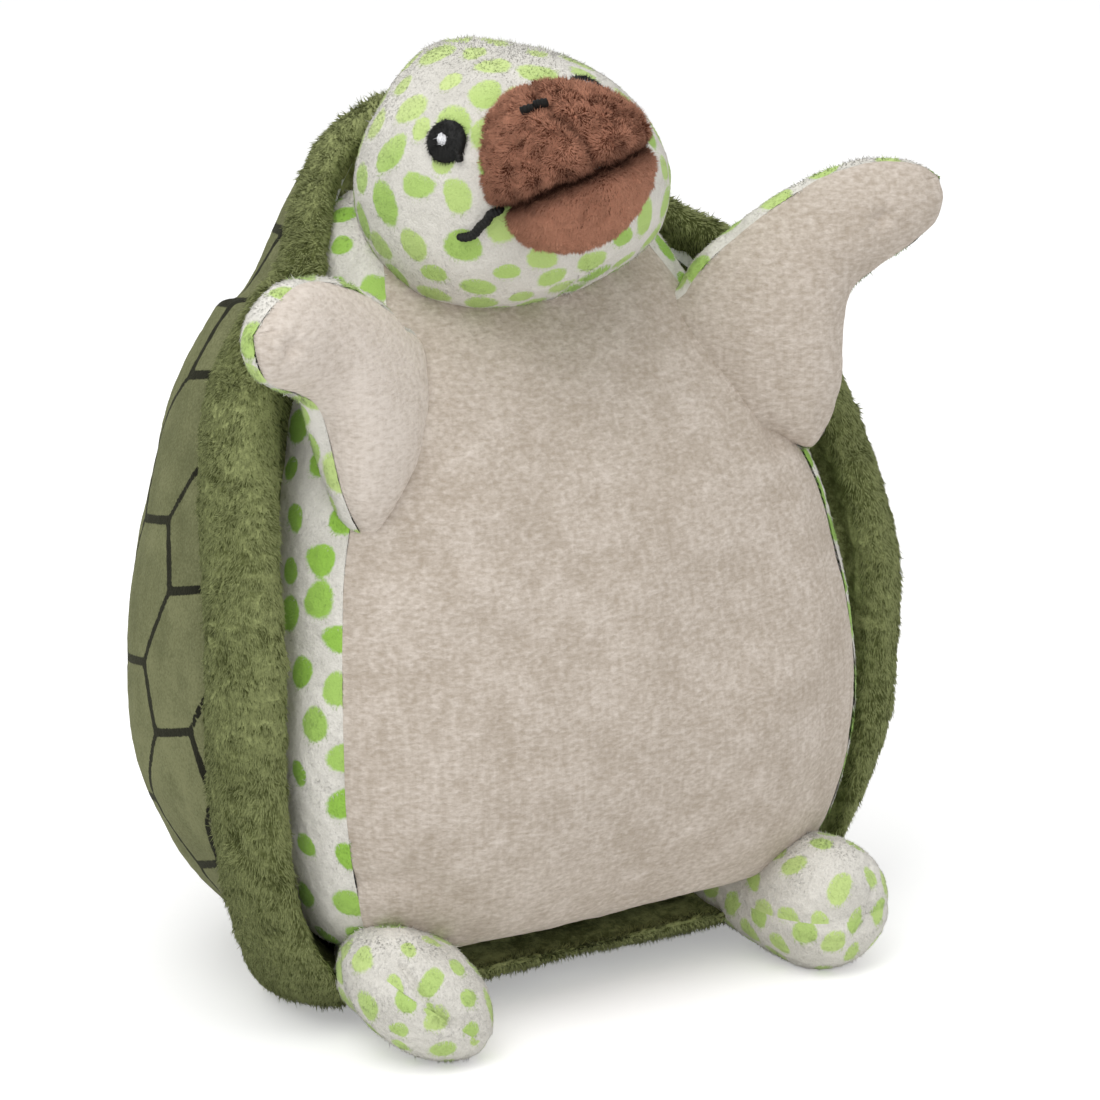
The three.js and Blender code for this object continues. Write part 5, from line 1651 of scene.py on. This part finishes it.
# Face
def on_head(middle, across, up):
    """Points of a flat patch, across and up from its middle on the head, dropped onto the head's surface
    along lines to the head's centre, with their outward directions."""
    radii = np.array([HEAD_HALF_WIDTH, HEAD_HALF_DEEP, HEAD_UP if middle[2] > 0 else HEAD_DOWN])
    out = middle / radii**2
    out /= np.linalg.norm(out)
    side = np.cross([0, 0, 1], out)
    side /= np.linalg.norm(side)
    rise = np.cross(out, side)
    flat = middle + across[..., None] * side + up[..., None] * rise
    onto = flat / np.linalg.norm(flat / radii, axis=-1, keepdims=True)
    normals = onto / radii**2
    return pressed(onto, HEAD_PRESSES), normals / np.linalg.norm(normals, axis=-1, keepdims=True)


def satin_patch(name, middle, half_across, half_up, lift, kind):
    """An oval of satin stitch: a low cushion on the head, ridged by its threads."""
    rows, columns = GRIDS["patch"]
    ring = np.linspace(0, 1, rows)[:, None]
    angle = np.linspace(0, 2 * pi, columns + 1)[None, :-1]
    across = half_across * ring * np.cos(angle)
    onto, normals = on_head(np.array(middle, float), across, half_up * ring * np.sin(angle))
    threads = PATCH_RIDGE * np.abs(np.sin(across * pi / PATCH_THREAD))
    height = lift * np.sqrt(np.clip(1 - ring**2, 0, 1)) + threads - PATCH_EDGE * ring**8
    points = onto + normals * height[..., None]
    points[0] = points[0].mean(axis=0)
    placed = head_place(points)
    piece = grid_mesh(name, placed, wrap=True, low_pole=True)
    finish(piece, kind)
    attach(piece, "head")
    pile_fibres(f"{name}_ends", placed, HEAD_CENTRE, "head", kind, THREAD_END, SEEDS["thread"],
                int(THREAD_ENDS * (half_across * half_up)), wrap=True, **FIBRES["thread"])


def stitched_line(name, path, across, lift, kind, radii, centre=(0, 0, 0)):
    """A line of satin stitch: a low half-round ribbon along a smooth path on an oval ball, ridged by its
    threads. It is pushed out from the ball by its lift times half a circle's height."""
    path = np.asarray(path, float)
    places = np.arange(len(path))
    along = np.linspace(0, len(path) - 1, 12 * len(path))
    spine = np.stack([smooth_table(places, path[:, k])(along) for k in range(3)], axis=-1) - centre
    spine = spine / np.linalg.norm(spine / radii, axis=-1, keepdims=True)
    out = spine / radii**2
    out /= np.linalg.norm(out, axis=-1, keepdims=True)
    if not np.any(centre):
        spine = pressed(spine, HEAD_PRESSES)
    side = np.cross(np.gradient(spine, axis=0), out)
    side /= np.linalg.norm(side, axis=-1, keepdims=True)
    far = lengths_along(spine[:, None], 0)[:, 0]
    ends = np.sqrt(np.clip(1 - (2 * far / far[-1] - 1) ** 8, 0.02, 1))[:, None]
    angle = np.linspace(-pi / 2, pi / 2, 13)[None, :]
    ridge = 1 + LINE_RIDGE * np.abs(np.sin(far * pi / LINE_THREAD))[:, None]
    half = across / 2 * ends * ridge
    high = lift * ends * ridge * np.cos(angle) * 1.3 - 0.3 * lift
    wide = half * np.sin(angle)
    points = spine[:, None] + side[:, None] * wide[..., None] + out[:, None] * high[..., None]
    piece = grid_mesh(name, head_place(points + centre), outwards=False)
    finish(piece, kind)
    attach(piece, "head")


def make_face():
    lower = np.array([HEAD_HALF_WIDTH, HEAD_HALF_DEEP, HEAD_DOWN])
    upper = np.array([HEAD_HALF_WIDTH, HEAD_HALF_DEEP, HEAD_UP])
    for name, side in SIDES:
        eye = on_mirror(EYE_PLACE, side)
        satin_patch(f"eye_{name}", eye, EYE_HALF, EYE_HALF + 0.3, 0.9, "black")
        satin_patch(f"glint_{name}", eye + GLINT_SHIFT, 1.15, 1.6, 1.3, "white")
        stitched_line(f"eye_tail_{name}", on_mirror(EYE_TAIL, side), 1.3, 0.7, "black", upper)
        stitched_line(f"mouth_corner_{name}", on_mirror(MOUTH_CORNER, side), 1.5, 0.9, "black", lower)
    for number, (start, end) in enumerate(NOSTRIL_STITCHES):
        middle = (np.array(start) + np.array(end)) / 2
        stitched_line(f"nostril_stitch_{number}", [start, middle, end], 1.15, 1.1, "black", BEAK_RADII,
                      BEAK_CENTRE)


# Add-on
def length_property(name, description, default):
    return FloatProperty(name=name, description=description, default=default, min=0, subtype="DISTANCE",
                         unit="LENGTH", precision=4)


def colour_property(name, description, default):
    return FloatVectorProperty(name=name, description=description, default=linear(default), min=0, max=1,
                               size=4, subtype="COLOR")


class TurtleSizes(bpy.types.PropertyGroup):
    spot_radius: length_property("Spot radius", "Mean radius of the printed spots", 3.1 * MM)
    plate_width: length_property("Plate width", "Width of a printed plate between its level edges", 27 * MM)
    plate_line: length_property("Plate line", "Width of the printed line between plates", 1.7 * MM)
    rim_pile: length_property("Rim pile", "Length of the shell rim's pile", 1.8 * MM)
    head_pile: length_property("Head pile", "Length of the head's pile", 1.1 * MM)
    beak_pile: length_property("Beak pile", "Length of the beak's pile", 1.5 * MM)


class TurtleColours(bpy.types.PropertyGroup):
    # Painted shade between the rim pile's tufts and at its fibres' feet
    olive_root: colour_property("Olive root", "Shell rim pile, deep between its tufts", "#484e28")
    olive_tip: colour_property("Olive tip", "Shell rim pile, at the tips", "#9aa16d")
    plate_root: colour_property("Plate root", "Back cloth in its nap's shade", "#606344")
    plate_tip: colour_property("Plate tip", "Back cloth at the tips", "#828460")
    ink: colour_property("Plate ink", "Printed lines of the back", "#1d1d16")
    cream_root: colour_property("Cream root", "Belly and palms in the nap's shade", "#ac9f90")
    cream_tip: colour_property("Cream tip", "Belly and palms at the tips", "#ddd3c9")
    white_root: colour_property("White root", "Spotted cloth in the pile's shade", "#c2bfb6")
    white_tip: colour_property("White tip", "Spotted cloth at the tips", "#e6e3db")
    spot_pale: colour_property("Pale spot", "Faintest printed spot", "#d6e59f")
    spot_deep: colour_property("Deep spot", "Strongest printed spot", "#93bf4e")
    # Painted shade between the fleece's curls and at its fibres' feet
    brown_root: colour_property("Brown root", "Beak fleece between its curls", "#5c3020")
    brown_tip: colour_property("Brown tip", "Beak fleece at its curls' tips", "#d0957a")
    # Painted shade deep in the mouth's crease and along the ridge's valley
    brown_crease_shade: colour_property("Brown crease", "Beak fleece deep in the mouth", "#2f180f")
    thread: colour_property("Thread", "Embroidery of the face", "#080807")


class TURTLE_OT_stage(bpy.types.Operator):
    """Set the camera, the lamps and the white paper"""
    bl_idname = "turtle.stage"
    bl_label = "Stage"

    def execute(self, context):
        make_stage()
        return {"FINISHED"}


class TURTLE_OT_shell(bpy.types.Operator):
    """Sew the padded rim and the domed back with its printed plates"""
    bl_idname = "turtle.shell"
    bl_label = "Shell"

    def execute(self, context):
        make_shell(context.scene.turtle_sizes)
        return {"FINISHED"}


class TURTLE_OT_torso(bpy.types.Operator):
    """Sew the cream belly, the spotted gussets and what is inside them"""
    bl_idname = "turtle.torso"
    bl_label = "Torso"

    def execute(self, context):
        make_torso(context.scene.turtle_sizes)
        return {"FINISHED"}


class TURTLE_OT_head(bpy.types.Operator):
    """Sew the two halves of the spotted head"""
    bl_idname = "turtle.head"
    bl_label = "Head"

    def execute(self, context):
        make_head(context.scene.turtle_sizes)
        return {"FINISHED"}


class TURTLE_OT_beak(bpy.types.Operator):
    """Sew the fleece beak"""
    bl_idname = "turtle.beak"
    bl_label = "Beak"

    def execute(self, context):
        make_beak(context.scene.turtle_sizes)
        return {"FINISHED"}


class TURTLE_OT_face(bpy.types.Operator):
    """Stitch the eyes, nostrils and mouth corners"""
    bl_idname = "turtle.face"
    bl_label = "Face"

    def execute(self, context):
        make_face()
        return {"FINISHED"}


class TURTLE_OT_flippers(bpy.types.Operator):
    """Sew both flippers"""
    bl_idname = "turtle.flippers"
    bl_label = "Flippers"

    def execute(self, context):
        make_flippers(context.scene.turtle_sizes)
        return {"FINISHED"}


class TURTLE_OT_feet(bpy.types.Operator):
    """Sew both feet"""
    bl_idname = "turtle.feet"
    bl_label = "Feet"

    def execute(self, context):
        make_feet(context.scene.turtle_sizes)
        return {"FINISHED"}


STEPS = (TURTLE_OT_stage, TURTLE_OT_shell, TURTLE_OT_torso, TURTLE_OT_head, TURTLE_OT_beak, TURTLE_OT_face,
         TURTLE_OT_flippers, TURTLE_OT_feet)


class TURTLE_PT_sidebar(bpy.types.Panel):
    """Lists the turtle's steps, sizes and colours"""
    bl_idname = "TURTLE_PT_sidebar"
    bl_label = "Plush Turtle"
    bl_space_type = "VIEW_3D"
    bl_region_type = "UI"
    bl_category = "Turtle"

    def draw(self, context):
        for step in STEPS:
            self.layout.operator(step.bl_idname)
        for group in (context.scene.turtle_sizes, context.scene.turtle_colours):
            for key in group.__annotations__:
                self.layout.prop(group, key)


CLASSES = (TurtleSizes, TurtleColours, *STEPS, TURTLE_PT_sidebar)


def register():
    for cls in CLASSES:
        bpy.utils.register_class(cls)
    bpy.types.Scene.turtle_sizes = PointerProperty(type=TurtleSizes)
    bpy.types.Scene.turtle_colours = PointerProperty(type=TurtleColours)


def unregister():
    del bpy.types.Scene.turtle_colours
    del bpy.types.Scene.turtle_sizes
    for cls in reversed(CLASSES):
        bpy.utils.unregister_class(cls)


def main():
    register()
    bpy.context.scene.view_settings.view_transform = "Standard"
    for step in STEPS:
        group, name = step.bl_idname.split(".")
        getattr(getattr(bpy.ops, group), name)()


if __name__ == "__main__":
    main()
